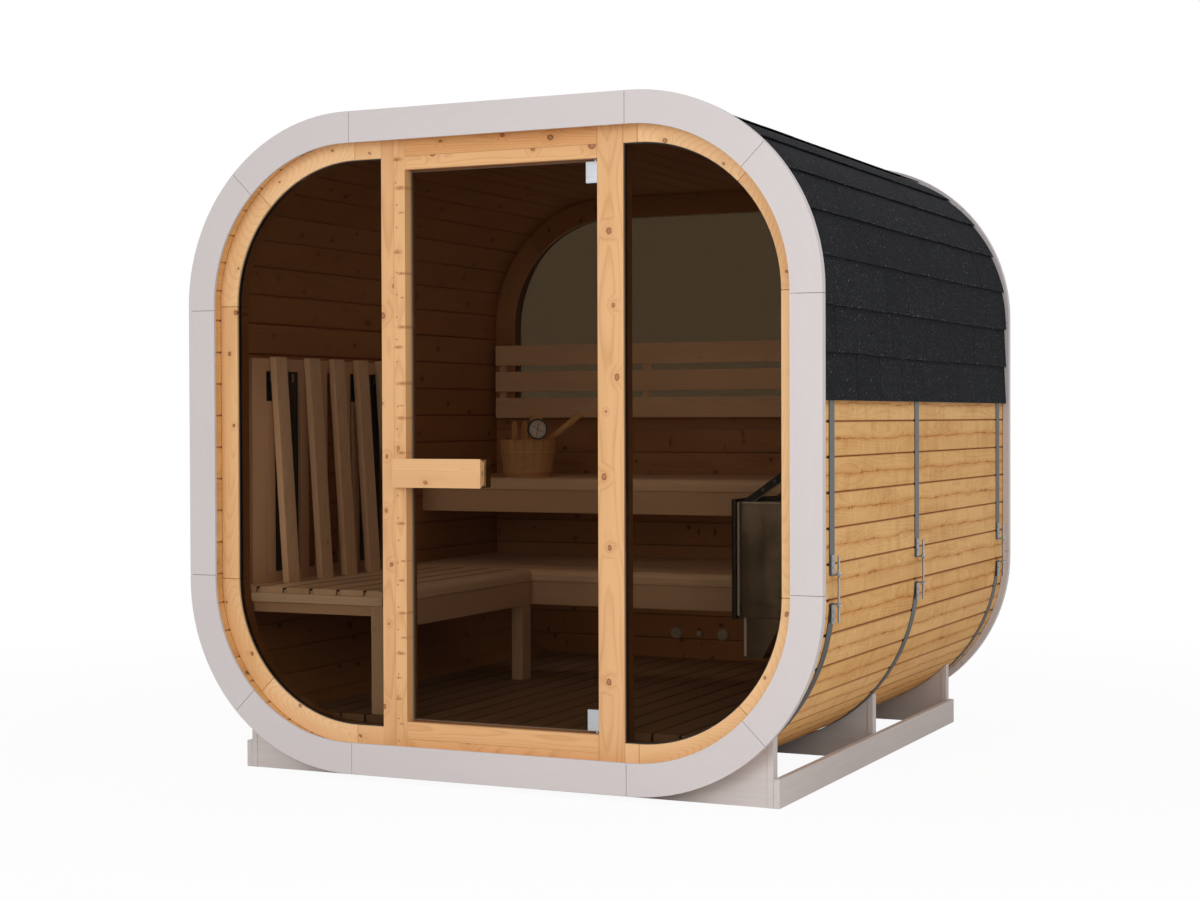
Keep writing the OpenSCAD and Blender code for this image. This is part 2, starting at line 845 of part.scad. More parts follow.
module thermometer() {
    color("white") at_pail() rotate([0, 0, ear_angle])
        translate([pail_r1 + seat, 0, pail_h + dial_r]) rotate([0, 90, 0])
            cylinder(h = dial_t, r = dial_r);
}

module vents() {
    color("white") for (v = vent_places)
        translate([v[0], rear_y - seat, vent_z]) rotate([90, 0, 0])
            cylinder(h = vent_t, r = v[1]);
}

/* ---- Steel bands and roofing ---- */

module band(y) {
    difference() {
        shell_outer(band_out, y - band_w / 2, y + band_w / 2);
        shell_outer(band_in, y - band_w / 2 - 1, y + band_w / 2 + 1);
        block(-cabin_w, cabin_w, y - band_w, y + band_w,
            tension_z - bracket_gap / 2, tension_z + bracket_gap / 2);
    }
}

module steel_bands() {
    color("gray") for (y = BANDS) band(y);
}

// A bracket bent out of the band's end at height z; up is the way that its leg runs
module band_bracket(y, z, up) {
    x = shell_half + band_out;
    leg = up > 0 ? [z, z + bracket_leg] : [z - bracket_leg, z];
    tab = up > 0 ? [z, z + bracket_t] : [z - bracket_t, z];
    block(x, x + bracket_t, y - bracket_w2, y + bracket_w2, leg[0], leg[1]);
    block(x, x + rod_out + nut_r, y - bracket_w2, y + bracket_w2, tab[0], tab[1]);
    translate([x + rod_out, y, up > 0 ? tab[1] : tab[0] - nut_h])
        cylinder(h = nut_h, r = nut_r, $fn = 6);
}

module tensioner(y) {
    x = shell_half + band_out;
    color("silver") {
        band_bracket(y, tension_z + bracket_gap / 2, 1);
        band_bracket(y, tension_z - bracket_gap / 2, -1);
        translate([x + rod_out, y, tension_z - rod_l / 2]) cylinder(h = rod_l, r = rod_r);
    }
}

module tensioners(side) {
    mirror([side < 0 ? 1 : 0, 0, 0]) for (y = BANDS) tensioner(y);
}

module shingle_roof() {
    g = band_out + seat;
    color("darkslategray") difference() {
        shell_outer(g + roof_t, trim_depth, cabin_d - trim_depth);
        shell_outer(g, trim_depth - 1, cabin_d);
        block(-cabin_w, cabin_w, 0, cabin_d, -cabin_h, roof_z);
    }
}

place() cradle(cradle_y1);  // cradle_front
place() cradle(cradle_y2);  // cradle_middle
place() cradle(cradle_y3);  // cradle_rear
place() rail(-1);  // rail_left
place() rail(1);  // rail_right
place() shell_level(shell_low);  // shell_under
place() shell_level(shell_high - wall_t);  // shell_top
place() shell_flat(-1);  // shell_left
place() shell_flat(1);  // shell_right
place() shell_corner(-1, false);  // shell_corner_low_left
place() shell_corner(1, false);  // shell_corner_low_right
place() shell_corner(-1, true);  // shell_corner_top_left
place() shell_corner(1, true);  // shell_corner_top_right
place() floor_boards();
place() trim(0, 0);  // trim_front
place() trim(cabin_d - trim_plate, cabin_d - trim_depth);  // trim_rear
place() front_frame_round();
place() post(door_l - post_w);  // post_left
place() post(door_r);  // post_right
place() header();
place() sill();
place() glass_fixed(true);  // glass_left
place() glass_fixed(false);  // glass_right
place() glass_seals();
place() door_glass();
place() door_hinges();
place() door_pins();
place() door_handle_outer();
place() door_handle_inner();
place() rear_wall_boards();
place() rear_frame_round();
place() rear_rail();
place() rear_glass();
place() bench_left();
place() bench_across(low_y, low_z);  // bench_rear
place() bench_across(high_y, high_z);  // bench_upper
place() bench_legs();
place() backrest();
place() heat_screen_frame();
place() heat_screen_slats();
place() heat_panels();
place() heater_case();
place() heater_cover();
place() heater_guard();
place() bucket();
place() ladle();
place() thermometer();
place() vents();
place() steel_bands();
place() tensioners(-1);  // tensioners_left
place() tensioners(1);  // tensioners_right
place() shingle_roof();
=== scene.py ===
import json
import math
import random

import bmesh
import bpy
from mathutils import Matrix, Vector

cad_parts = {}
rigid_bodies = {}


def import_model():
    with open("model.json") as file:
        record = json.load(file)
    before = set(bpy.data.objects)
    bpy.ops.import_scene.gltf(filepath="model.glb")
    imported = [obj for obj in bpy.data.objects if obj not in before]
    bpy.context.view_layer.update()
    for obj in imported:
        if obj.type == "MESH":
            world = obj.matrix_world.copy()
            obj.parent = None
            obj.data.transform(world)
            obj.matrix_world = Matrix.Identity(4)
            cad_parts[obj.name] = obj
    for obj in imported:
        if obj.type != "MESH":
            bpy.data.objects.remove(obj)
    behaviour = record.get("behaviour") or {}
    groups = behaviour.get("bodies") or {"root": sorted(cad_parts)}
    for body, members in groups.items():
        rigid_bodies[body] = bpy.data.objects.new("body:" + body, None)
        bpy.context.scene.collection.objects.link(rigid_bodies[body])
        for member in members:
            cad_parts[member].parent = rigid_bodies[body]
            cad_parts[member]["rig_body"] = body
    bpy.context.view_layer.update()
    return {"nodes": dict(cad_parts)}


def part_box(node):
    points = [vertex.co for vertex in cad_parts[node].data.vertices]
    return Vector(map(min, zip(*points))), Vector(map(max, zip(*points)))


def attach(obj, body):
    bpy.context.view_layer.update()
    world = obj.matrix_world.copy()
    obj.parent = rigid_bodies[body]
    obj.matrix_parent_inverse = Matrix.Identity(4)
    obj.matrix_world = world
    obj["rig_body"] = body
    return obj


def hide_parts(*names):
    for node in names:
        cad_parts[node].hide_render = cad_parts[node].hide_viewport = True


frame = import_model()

rng = random.Random(7)

# ---------------------------------------------------------------------------------------
# Sizes, read from the frame
# ---------------------------------------------------------------------------------------


def low(node):
    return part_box(node)[0]


def high(node):
    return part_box(node)[1]


SHELL_X = high("shell_right").x          # half width of the shell
ROOM_X = low("shell_right").x            # half width of the room
WALL = SHELL_X - ROOM_X
CORNER_X = high("shell_top").x           # centres of the rounded corners
CORNER_LOW = low("shell_right").z
CORNER_HIGH = high("shell_right").z
SHELL_R = SHELL_X - CORNER_X
ROOM_R = ROOM_X - CORNER_X
SHELL_FRONT = low("shell_top").y
SHELL_BACK = high("shell_top").y
SIDE = CORNER_HIGH - CORNER_LOW
TOP = 2 * CORNER_X
ARC = math.pi / 2 * SHELL_R
AROUND = 2 * (SIDE + TOP) + 4 * ARC
ACROSS = 2 * (SIDE + ARC) + TOP          # from one side's foot over the top to the other's
GLAZING_Y = low("sill").y                # front face of the glazed frame
REAR_BACK = high("rear_wall_boards").y   # back of the rear wall
GLASS_BACK = high("glass_left").y        # back faces of the fixed panes and of the door
DOOR_BACK = high("door_glass").y
BAND_W, MIDDLE_BAND_Y = 0.028, -0.081
BANDS_Y = (low("steel_bands").y + BAND_W / 2, MIDDLE_BAND_Y, high("steel_bands").y - BAND_W / 2)
PLANK = 0.105                            # a wall plank's cover
FIRST_GROOVE = 0.616 - CORNER_LOW        # place of one groove, from the foot of the right side


def around(s, out=0.0):
    """The point (x, z) s metres round the shell from the foot of its right side, and the
    direction that points outwards there. The point is moved outwards by out."""
    s %= AROUND
    corners = [(CORNER_X, CORNER_HIGH), (-CORNER_X, CORNER_HIGH),
               (-CORNER_X, CORNER_LOW), (CORNER_X, CORNER_LOW)]
    for quarter, corner in enumerate(corners):
        straight = TOP if quarter % 2 else SIDE
        turn = quarter * math.pi / 2
        if s > straight + ARC:
            s -= straight + ARC
            continue
        turn += max(0.0, s - straight) / SHELL_R
        normal = Vector((math.cos(turn), math.sin(turn)))
        run = Vector((-normal.y, normal.x)) * min(0.0, s - straight)
        return Vector(corner) + normal * (SHELL_R + out) + run, normal
    return around(0.0, out)


def on_shell(s, out, y):
    point, _ = around(s, out)
    return Vector((point.x, y, point.y))


def room_x(z, inset=0.0):
    """Half width of the room at height z."""
    r = ROOM_R - inset
    dz = max(CORNER_LOW - z, z - CORNER_HIGH, 0.0)
    return CORNER_X + math.sqrt(max(r * r - dz * dz, 0.0))


# ---------------------------------------------------------------------------------------
# Materials
# ---------------------------------------------------------------------------------------


def srgb(r, g, b):
    """A colour given as 0 to 255, as the shader wants it."""
    return tuple(((c / 255 + 0.055) / 1.055) ** 2.4 if c > 10 else c / 255 / 12.92
                 for c in (r, g, b)) + (1.0,)


class Graph:
    """Wires a material's nodes: each method adds one node and returns its output."""

    def __init__(self, name):
        self.material = bpy.data.materials.new(name)
        self.material.use_nodes = True
        self.tree = self.material.node_tree
        self.tree.nodes.clear()
        self.out = self.tree.nodes.new("ShaderNodeOutputMaterial")

    def node(self, kind, inputs=(), **settings):
        node = self.tree.nodes.new(kind)
        for key, value in settings.items():
            setattr(node, key, value)
        for key, value in dict(inputs).items():
            if isinstance(value, bpy.types.NodeSocket):
                self.tree.links.new(value, node.inputs[key])
            elif value is not None:
                node.inputs[key].default_value = value
        return node

    def math(self, operation, a, b=None, c=None, clamp=False):
        return self.node("ShaderNodeMath", {0: a, 1: b, 2: c}, operation=operation,
                         use_clamp=clamp).outputs[0]

    def attribute(self, name):
        return self.node("ShaderNodeAttribute", attribute_name=name)

    def vector(self, x, y, z):
        return self.node("ShaderNodeCombineXYZ", {0: x, 1: y, 2: z}).outputs[0]

    def noise(self, vector, scale, detail=2.0, rough=0.5):
        return self.node("ShaderNodeTexNoise", {
            "Vector": vector, "Scale": scale, "Detail": detail,
            "Roughness": rough}).outputs["Fac"]

    def voronoi(self, vector, scale, random=1.0):
        return self.node("ShaderNodeTexVoronoi", {
            "Vector": vector, "Scale": scale, "Randomness": random})

    def ramp(self, fac, *stops):
        ramp = self.node("ShaderNodeValToRGB", {"Fac": fac})
        elements = ramp.color_ramp.elements
        while len(elements) < len(stops):
            elements.new(0.5)
        for element, (place, color) in zip(elements, stops):
            element.position = place
            element.color = color if isinstance(color, tuple) else (color,) * 3 + (1.0,)
        return ramp.outputs["Color"]

    def mix(self, fac, a, b, blend="MIX"):
        node = self.node("ShaderNodeMix", data_type="RGBA", blend_type=blend)
        for socket, value in ((node.inputs["Factor"], fac), (node.inputs[6], a),
                              (node.inputs[7], b)):
            if isinstance(value, bpy.types.NodeSocket):
                self.tree.links.new(value, socket)
            else:
                socket.default_value = value
        return node.outputs[2]

    def bump(self, height, distance, strength=1.0, normal=None):
        return self.node("ShaderNodeBump", {
            "Height": height, "Distance": distance, "Strength": strength,
            "Normal": normal}).outputs[0]

    def shader(self, **inputs):
        shader = self.node("ShaderNodeBsdfPrincipled",
                           {key.replace("_", " "): value for key, value in inputs.items()})
        self.tree.links.new(shader.outputs[0], self.out.inputs[0])
        return self.material

    def end(self, shader):
        self.tree.links.new(shader, self.out.inputs[0])
        return self.material


def wood(name, pale, dark, knot, ring=0.005, knots=0.4, knot_size=0.007, spread=0.05,
         spikes=0.0, contrast=0.5, rough=0.5, tone=0.16, joint=(srgb(60, 34, 18), 0.8),
         edge=(0.0045, 0.0), pins=None, behind=None, weather=None, gloss=0.25):
    """Softwood: growth rings round a pith that wanders, bent round the knots, and fibres.
    knots is how many of its 0.19 m lengths have one, somewhere within spread. joint is the
    colour of the joints between boards and how strong it is, and edge how wide each is and
    how much of it shows on the face: the joints' own dark colour, with painted shade in the
    gaps. pins gives the pitch, place and size of a row of nail heads. behind gives a depth,
    and the two darker colours of the wood beyond it, painted shade. weather gives the two
    colours of wood that stands in the open: its outer face has a wavy dark seam along its
    middle and pale marks across it."""
    g = Graph(name)
    place = g.node("ShaderNodeSeparateXYZ", {0: g.attribute("grain").outputs["Vector"]})
    board = g.node("ShaderNodeSeparateXYZ", {0: g.attribute("board").outputs["Vector"]})
    reach = g.node("ShaderNodeSeparateXYZ", {0: g.attribute("reach").outputs["Vector"]})
    along, across, deep = place.outputs
    pith_across, pith_deep, shade = board.outputs

    # knots: round on the board's face, at most one in each length of it
    def knot_layer(length, share, size, stretch, reach_across):
        place_in = g.math("ADD", g.math("DIVIDE", along, length),
                          g.math("MULTIPLY", shade, 90.0))
        cells = g.node("ShaderNodeTexVoronoi", {"W": place_in, "Scale": 1.0,
                                                "Randomness": 0.9}, voronoi_dimensions="1D")
        chance = g.node("ShaderNodeSeparateColor", {0: cells.outputs["Color"]})
        dx = g.math("MULTIPLY", g.math("SUBTRACT", place_in, cells.outputs["W"]), length)
        dy = g.math("SUBTRACT", across, g.math("MULTIPLY_ADD", chance.outputs[2],
                                               reach_across, -reach_across / 2))
        ragged = g.noise(g.vector(g.math("MULTIPLY", along, 130.0),
                                  g.math("MULTIPLY", across, 130.0), 0.0), 1.0, 2.0, 0.6)
        dy = g.math("DIVIDE", dy, stretch)
        far = g.math("SQRT", g.math("ADD", g.math("MULTIPLY", dx, dx),
                                    g.math("MULTIPLY", dy, dy)))
        far = g.math("ADD", far, g.math("MULTIPLY_ADD", ragged, size * 0.8, -size * 0.4))
        radius = g.math("MULTIPLY", g.math("MULTIPLY_ADD", chance.outputs[1], 0.9, 0.5), size)
        there = g.math("LESS_THAN", chance.outputs[0], share)
        return there, g.math("DIVIDE", far, radius)

    there, far = knot_layer(0.19, knots, knot_size, 0.8, spread)
    core = g.math("MULTIPLY", there, g.ramp(far, (0.0, 0.75), (0.5, 0.5), (0.74, 1.0),
                                            (0.95, 0.85), (1.0, 0.0)))
    pull = g.math("MULTIPLY", there, g.math("MAXIMUM", g.math(
        "MULTIPLY_ADD", far, -0.24, 1.0), 0.0))
    if spikes:
        sharp, spike = knot_layer(0.075, spikes, 0.0065, 3.2, spread)
        streak = g.math("MULTIPLY", sharp, g.math("SUBTRACT", 1.0, spike, clamp=True))
        core = g.math("MAXIMUM", core, g.math("MULTIPLY", streak, 0.95))
    if pins:
        pitch, pin_across, pin_size = pins
        row = g.math("DIVIDE", along, pitch)
        step = g.noise(g.vector(g.math("MULTIPLY", g.math("FLOOR", row), 3.7), shade, 0.0),
                       1.0, 1.0, 0.5)
        dx = g.math("MULTIPLY_ADD", g.math("FRACT", row), pitch, -pitch / 2)
        dy = g.math("SUBTRACT", across, g.math("MULTIPLY_ADD", step, 0.012, pin_across - 0.006))
        far_pin = g.math("SQRT", g.math("ADD", g.math("MULTIPLY", dx, dx),
                                        g.math("MULTIPLY", dy, dy)))
        core = g.math("MAXIMUM", core, g.math("MULTIPLY", g.math(
            "SUBTRACT", 1.0, g.math("DIVIDE", far_pin, pin_size), clamp=True), 1.6))
    core = g.math("MINIMUM", core, 1.0)
    # growth rings
    drift = g.noise(g.vector(g.math("MULTIPLY", along, 1.3), g.math("MULTIPLY", across, 1.5),
                             shade), 1.0, 2.0, 0.4)
    from_pith = g.math("SUBTRACT", across, pith_across)
    depth = g.math("ADD", g.math("SUBTRACT", deep, pith_deep),
                   g.math("MULTIPLY_ADD", drift, 0.07, -0.035))
    radius = g.math("SQRT", g.math("ADD", g.math("MULTIPLY", from_pith, from_pith),
                                   g.math("MULTIPLY", depth, depth)))
    wobble = g.noise(g.vector(g.math("MULTIPLY", along, 4.0), g.math("MULTIPLY", across, 40.0),
                              g.math("MULTIPLY", deep, 40.0)), 1.0, 2.0, 0.5)
    radius = g.math("ADD", radius, g.math("MULTIPLY", wobble, 0.004))
    radius = g.math("ADD", radius, g.math("MULTIPLY", pull, 0.012))
    rings = g.math("FRACT", g.math("DIVIDE", radius, ring))
    late = g.ramp(rings, (0.0, 0.25), (0.12, 0.0), (0.6, 0.15), (0.9, 1.0), (1.0, 0.3))
    # fibres and broad changes of colour
    hair = g.noise(g.vector(g.math("MULTIPLY", along, 9.0), g.math("MULTIPLY", across, 420.0),
                            g.math("MULTIPLY", deep, 420.0)), 1.0, 2.0, 0.6)
    cloud = g.noise(g.vector(g.math("MULTIPLY", along, 1.8), g.math("MULTIPLY", across, 16.0),
                             g.math("MULTIPLY", deep, 16.0)), 1.0, 3.0, 0.55)
    amount = g.math("ADD", g.math("MULTIPLY", late, contrast),
                    g.math("MULTIPLY_ADD", hair, 0.2, -0.1))
    amount = g.math("ADD", amount, g.math("MULTIPLY_ADD", cloud, 0.9, -0.4), clamp=True)
    color = g.mix(amount, pale, dark)
    height = g.math("SUBTRACT", g.math("MULTIPLY", hair, 0.5), g.math("MULTIPLY", late, 0.5))
    if behind or weather:
        y = g.node("ShaderNodeSeparateXYZ", {
            0: g.node("ShaderNodeTexCoord").outputs["Object"]}).outputs[1]
    # painted shade: beyond the given depth, behind the glass, the wood takes darker colours
    if behind:
        color = g.mix(g.math("GREATER_THAN", y, behind[0]), color,
                      g.mix(amount, behind[1], behind[2]))
    if weather:
        outside = g.math("GREATER_THAN", deep, 0.012)
        ends = g.math("MAXIMUM", g.math("LESS_THAN", y, GLAZING_Y),
                      g.math("GREATER_THAN", y, REAR_BACK))
        patch = g.noise(g.vector(g.math("MULTIPLY", along, 3.0), g.math(
            "MULTIPLY", across, 14.0), shade), 1.0, 2.0, 0.5)
        patch = g.math("MULTIPLY_ADD", patch, 1.3, -0.6)
        face = g.mix(g.math("ADD", g.math("MULTIPLY", amount, 0.75), patch, clamp=True),
                     weather[0], weather[1])
        color = g.mix(g.math("MAXIMUM", outside, ends), color, face)
        # the seam wanders along the middle of the face
        wander = g.noise(g.vector(g.math("MULTIPLY", along, 4.0), shade, 0.0), 1.0, 5.0, 0.65)
        gap = g.math("SUBTRACT", across, g.math("MULTIPLY_ADD", wander, 0.034, -0.017))
        seam = g.math("SUBTRACT", 1.0, g.math("DIVIDE", g.math("ABSOLUTE", gap), 0.0026),
                      clamp=True)
        broken = g.noise(g.vector(g.math("MULTIPLY", along, 13.0), shade, 3.0), 1.0, 3.0, 0.6)
        seam = g.math("MULTIPLY", seam, g.ramp(broken, (0.4, 0.1), (0.56, 1.0)))
        seam = g.math("MULTIPLY", seam, outside)
        # each half of the face has its own marks, which lean and bend
        half = g.math("MULTIPLY", g.math("GREATER_THAN", gap, 0.0), 13.7)
        bend = g.noise(g.vector(g.math("MULTIPLY", along, 10.0),
                                g.math("MULTIPLY", across, 30.0), shade), 1.0, 2.0, 0.5)
        row = g.math("ADD", g.math("DIVIDE", along, 0.075), g.math("ADD", half, g.math(
            "MULTIPLY_ADD", bend, 1.3, g.math("MULTIPLY", shade, 40.0))))
        marks = g.node("ShaderNodeTexVoronoi", {"W": row, "Scale": 1.0},
                       voronoi_dimensions="1D").outputs["Distance"]
        mark = g.math("SUBTRACT", 1.0, g.math("DIVIDE", marks, 0.06), clamp=True)
        some = g.noise(g.vector(g.math("MULTIPLY", along, 12.0),
                                g.math("MULTIPLY", across, 22.0), shade), 1.0, 1.0, 0.5)
        mark = g.math("MULTIPLY", mark, g.ramp(some, (0.42, 0.0), (0.60, 0.8)))
        mark = g.math("MULTIPLY", mark, outside)
        wide = g.noise(g.vector(g.math("ADD", g.math("MULTIPLY", along, 16.0), half),
                                g.math("MULTIPLY", across, 5.0), shade), 1.0, 1.0, 0.5)
        color = g.mix(g.math("MULTIPLY", g.ramp(wide, (0.55, 0.0), (0.7, 0.3)), outside),
                      color, weather[1])
        color = g.mix(mark, color, srgb(246, 206, 142))
        beside_seam = g.math("SUBTRACT", 1.0, g.math("DIVIDE", g.math("ABSOLUTE", gap), 0.014),
                             clamp=True)
        color = g.mix(g.math("MULTIPLY", g.math("MULTIPLY", beside_seam, outside), 0.45),
                      color, srgb(200, 128, 58))
        color = g.mix(g.math("MULTIPLY", seam, 0.9), color, srgb(168, 92, 34))
        chip = g.math("MULTIPLY", g.math("LESS_THAN", g.math("ABSOLUTE", gap), 0.006),
                      g.math("GREATER_THAN", broken, 0.62))
        color = g.mix(g.math("MULTIPLY", g.math("MULTIPLY", chip, outside), 0.5), color,
                      srgb(160, 88, 36))
        indoors = g.math("SUBTRACT", 1.0, outside)
        core, pull = g.math("MULTIPLY", core, indoors), g.math("MULTIPLY", pull, indoors)
        height = g.math("ADD", height, g.math(
            "SUBTRACT", g.math("MULTIPLY", mark, 0.8), g.math("MULTIPLY", seam, 1.2)))
    color = g.mix(g.math("MULTIPLY", pull, 0.3), color, dark)
    color = g.mix(core, color, knot)
    # joints: a board's sides, below its own face, take the joints' dark colour, partly painted
    # shade in the gaps
    beside = g.math("SUBTRACT", reach.outputs[1], g.math("ABSOLUTE", across))
    below = g.math("SUBTRACT", reach.outputs[2], g.math("ABSOLUTE", deep))
    side = g.math("SUBTRACT", 1.0, g.math("DIVIDE", beside, edge[0]), clamp=True)
    sunk = g.math("MAXIMUM", g.math("DIVIDE", below, 0.0015, clamp=True), edge[1])
    joint_dark_and_shade = g.math("MULTIPLY", g.math("MULTIPLY", side, sunk), joint[1])
    if weather:
        joint_dark_and_shade = g.math("MULTIPLY", joint_dark_and_shade, g.math("MULTIPLY_ADD", g.math(
            "MULTIPLY", ends, indoors), -0.8, 1.0))
    color = g.mix(joint_dark_and_shade, color, joint[0])
    if weather:
        # painted shadow in the gap that each band leaves over a groove, in front of the band
        band_gap_shadow = None
        for band in BANDS_Y:
            near = g.math("LESS_THAN", g.math("ABSOLUTE", g.math(
                "SUBTRACT", y, band - BAND_W / 2 - 0.004)), 0.006)
            band_gap_shadow = g.math("MAXIMUM", band_gap_shadow, near) if band_gap_shadow else near
        band_gap_shadow = g.math("MULTIPLY", g.math("MULTIPLY", band_gap_shadow, outside), g.math(
            "GREATER_THAN", side, 0.2))
        color = g.mix(g.math("MULTIPLY", band_gap_shadow, 0.85), color, srgb(34, 22, 14))
    color = g.node("ShaderNodeHueSaturation", {
        "Hue": g.math("MULTIPLY_ADD", shade, -0.04 * tone, 0.5 + 0.02 * tone),
        "Saturation": g.math("MULTIPLY_ADD", shade, 0.75 * tone, 1.0 - 0.375 * tone),
        "Value": g.math("MULTIPLY_ADD", shade, -tone, 1.0 + tone / 2), "Fac": 1.0,
        "Color": color}).outputs[0]
    return g.shader(
        Base_Color=color, Roughness=g.math("MULTIPLY_ADD", late, -0.08, rough),
        Normal=g.bump(height, 0.0004), Specular_IOR_Level=gloss)


def painted(name, color, rough=0.5, change=0.02):
    """Opaque paint over planed timber: brush marks and a little soiling."""
    g = Graph(name)
    grain = g.attribute("grain").outputs["Vector"]
    stretched = g.node("ShaderNodeMapping", {"Vector": grain, "Scale": (3.0, 90.0, 90.0)})
    brush = g.noise(stretched.outputs[0], 1.0, 3.0, 0.55)
    cloud = g.noise(grain, 2.0, 3.0, 0.6)
    amount = g.math("ADD", g.math("MULTIPLY", brush, 0.5), g.math("MULTIPLY", cloud, 0.5))
    darker = tuple(c * (1 - change * 2) for c in color[:3]) + (1.0,)
    lighter = tuple(min(1.0, c * (1 + change)) for c in color[:3]) + (1.0,)
    return g.shader(
        Base_Color=g.ramp(amount, (0.25, darker), (0.75, lighter)),
        Roughness=g.math("MULTIPLY_ADD", brush, 0.12, rough - 0.06),
        Normal=g.bump(brush, 0.0002, 0.3), Specular_IOR_Level=0.3)


def metal(name, color, rough=0.3, streaks=(2.0, 300.0, 2.0), metallic=1.0, change=0.12,
          dents=0.0):
    """Metal with fine marks that run one way, which also change its colour; on polished steel the
    marks are broad streaks, painted reflections. dents is how much a thin sheet bulges.
    """
    g = Graph(name)
    place = g.node("ShaderNodeTexCoord").outputs["Object"]
    run = g.node("ShaderNodeMapping", {"Vector": place, "Scale": streaks}).outputs[0]
    marks = g.noise(run, 1.0, 3.0, 0.6)
    cloud = g.noise(place, 14.0, 3.0, 0.6)
    amount = g.math("ADD", g.math("MULTIPLY", marks, 0.5), g.math("MULTIPLY", cloud, 0.5))
    darker = tuple(c * (1 - change) for c in color[:3]) + (1.0,)
    lighter = tuple(min(1.0, c * (1 + change)) for c in color[:3]) + (1.0,)
    if dents:
        marks = g.math("MULTIPLY_ADD", g.noise(place, 4.0, 1.0, 0.5), dents, marks)
    return g.shader(
        Base_Color=g.ramp(amount, (0.3, darker), (0.7, lighter)), Metallic=metallic,
        Roughness=g.math("MULTIPLY_ADD", amount, 0.2, rough - 0.1),
        Normal=g.bump(marks, 0.0001, 0.5))


def coated(name, color, rough=0.5, grit=400.0, bump=0.0002):
    """Plastic, rubber or enamel with a very fine texture."""
    g = Graph(name)
    place = g.node("ShaderNodeTexCoord").outputs["Object"]
    fine = g.noise(place, grit, 2.0, 0.5)
    cloud = g.noise(place, 20.0, 2.0, 0.5)
    darker = tuple(c * 0.85 for c in color[:3]) + (1.0,)
    return g.shader(
        Base_Color=g.ramp(cloud, (0.3, darker), (0.7, color)),
        Roughness=g.math("MULTIPLY_ADD", fine, 0.16, rough - 0.08),
        Normal=g.bump(fine, bump, 0.6))


def granules(name):
    """Mineral-surfaced bitumen: dark grit with a few pale grains."""
    g = Graph(name)
    place = g.node("ShaderNodeTexCoord").outputs["Object"]
    grit = g.voronoi(place, 420.0)
    pick = g.node("ShaderNodeSeparateColor", {0: grit.outputs["Color"]}).outputs[0]
    cloud = g.noise(place, 4.0, 4.0, 0.6)
    shade = g.node("ShaderNodeSeparateXYZ",
                   {0: g.attribute("board").outputs["Vector"]}).outputs[2]
    level = g.math("ADD", g.math("MULTIPLY_ADD", cloud, 0.5, 0.75),
                   g.math("MULTIPLY_ADD", shade, 0.16, -0.08))
    base = g.node("ShaderNodeHueSaturation", {"Value": level, "Color": g.ramp(
        pick, (0.0, srgb(20, 21, 24)), (0.6, srgb(30, 31, 34)), (0.94, srgb(44, 45, 49)),
        (1.0, srgb(92, 94, 100)))}).outputs[0]
    chips = g.voronoi(place, 110.0)
    lone = g.node("ShaderNodeSeparateColor", {0: chips.outputs["Color"]}).outputs[1]
    across = g.node("ShaderNodeSeparateXYZ", {
        0: g.attribute("grain").outputs["Vector"]}).outputs[1]
    edge = g.ramp(g.math("DIVIDE", g.math("ABSOLUTE", across), 0.085), (0.92, 0.0), (0.99, 0.5))
    chip = g.math("MULTIPLY", g.math("GREATER_THAN", g.math("ADD", lone, edge), 0.975),
                  g.math("LESS_THAN", chips.outputs["Distance"], 0.2))
    base = g.mix(g.math("MULTIPLY", chip, 0.8), base, srgb(168, 170, 172))
    return g.shader(Base_Color=base, Roughness=0.95, Specular_IOR_Level=0.08,
                    Normal=g.bump(grit.outputs["Distance"], 0.0009, 0.7))


def tinted(name, color):
    """Clear glass of that colour, which lets the room's light through."""
    g = Graph(name)
    path = g.node("ShaderNodeLightPath")
    clear = g.node("ShaderNodeBsdfTransparent", {"Color": (1.0, 1.0, 1.0, 1.0)}).outputs[0]
    sheet = g.node("ShaderNodeBsdfTransparent", {"Color": color}).outputs[0]
    mirror = g.node("ShaderNodeBsdfGlossy", {"Color": (1.0, 1.0, 1.0, 1.0),
                                             "Roughness": 0.0}).outputs[0]
    edge = g.node("ShaderNodeFresnel", {"IOR": 1.07}).outputs[0]
    seen = g.node("ShaderNodeMixShader", {0: edge, 1: sheet, 2: mirror}).outputs[0]
    lit = g.math("MAXIMUM", path.outputs["Is Shadow Ray"], path.outputs["Is Diffuse Ray"])
    return g.end(g.node("ShaderNodeMixShader", {0: lit, 1: seen, 2: clear}).outputs[0])


SHADED_INNER_FACES = (srgb(150, 100, 60), srgb(118, 76, 44))     # painted shade: darker colours for the frame's wood in the room, behind the glass
FRAME_WOOD = wood("frame_wood", srgb(226, 174, 119), srgb(194, 130, 74), srgb(122, 66, 34),
                  ring=0.0052, knots=0.45, knot_size=0.010, contrast=0.4,
                  behind=(GLASS_BACK, *SHADED_INNER_FACES))
ARC_WOOD = wood("arc_wood", srgb(240, 196, 144), srgb(216, 162, 109), srgb(130, 72, 38),
                ring=0.0052, knots=0.7, contrast=0.4, behind=(GLASS_BACK, *SHADED_INNER_FACES))
POST_WOOD = wood("post_wood", srgb(221, 168, 112), srgb(190, 126, 70), srgb(156, 86, 44),
                 ring=0.0045, knots=0.25, spread=0.025, spikes=0.75, contrast=0.4,
                 pins=(0.071, -0.010, 0.0036), behind=(DOOR_BACK, *SHADED_INNER_FACES))
SMOOTH_WOOD = wood("smooth_wood", srgb(221, 169, 115), srgb(188, 124, 70), srgb(134, 72, 40),
                   ring=0.0065, knots=0.7, knot_size=0.008, contrast=0.4,
                   behind=(GLASS_BACK, *SHADED_INNER_FACES))
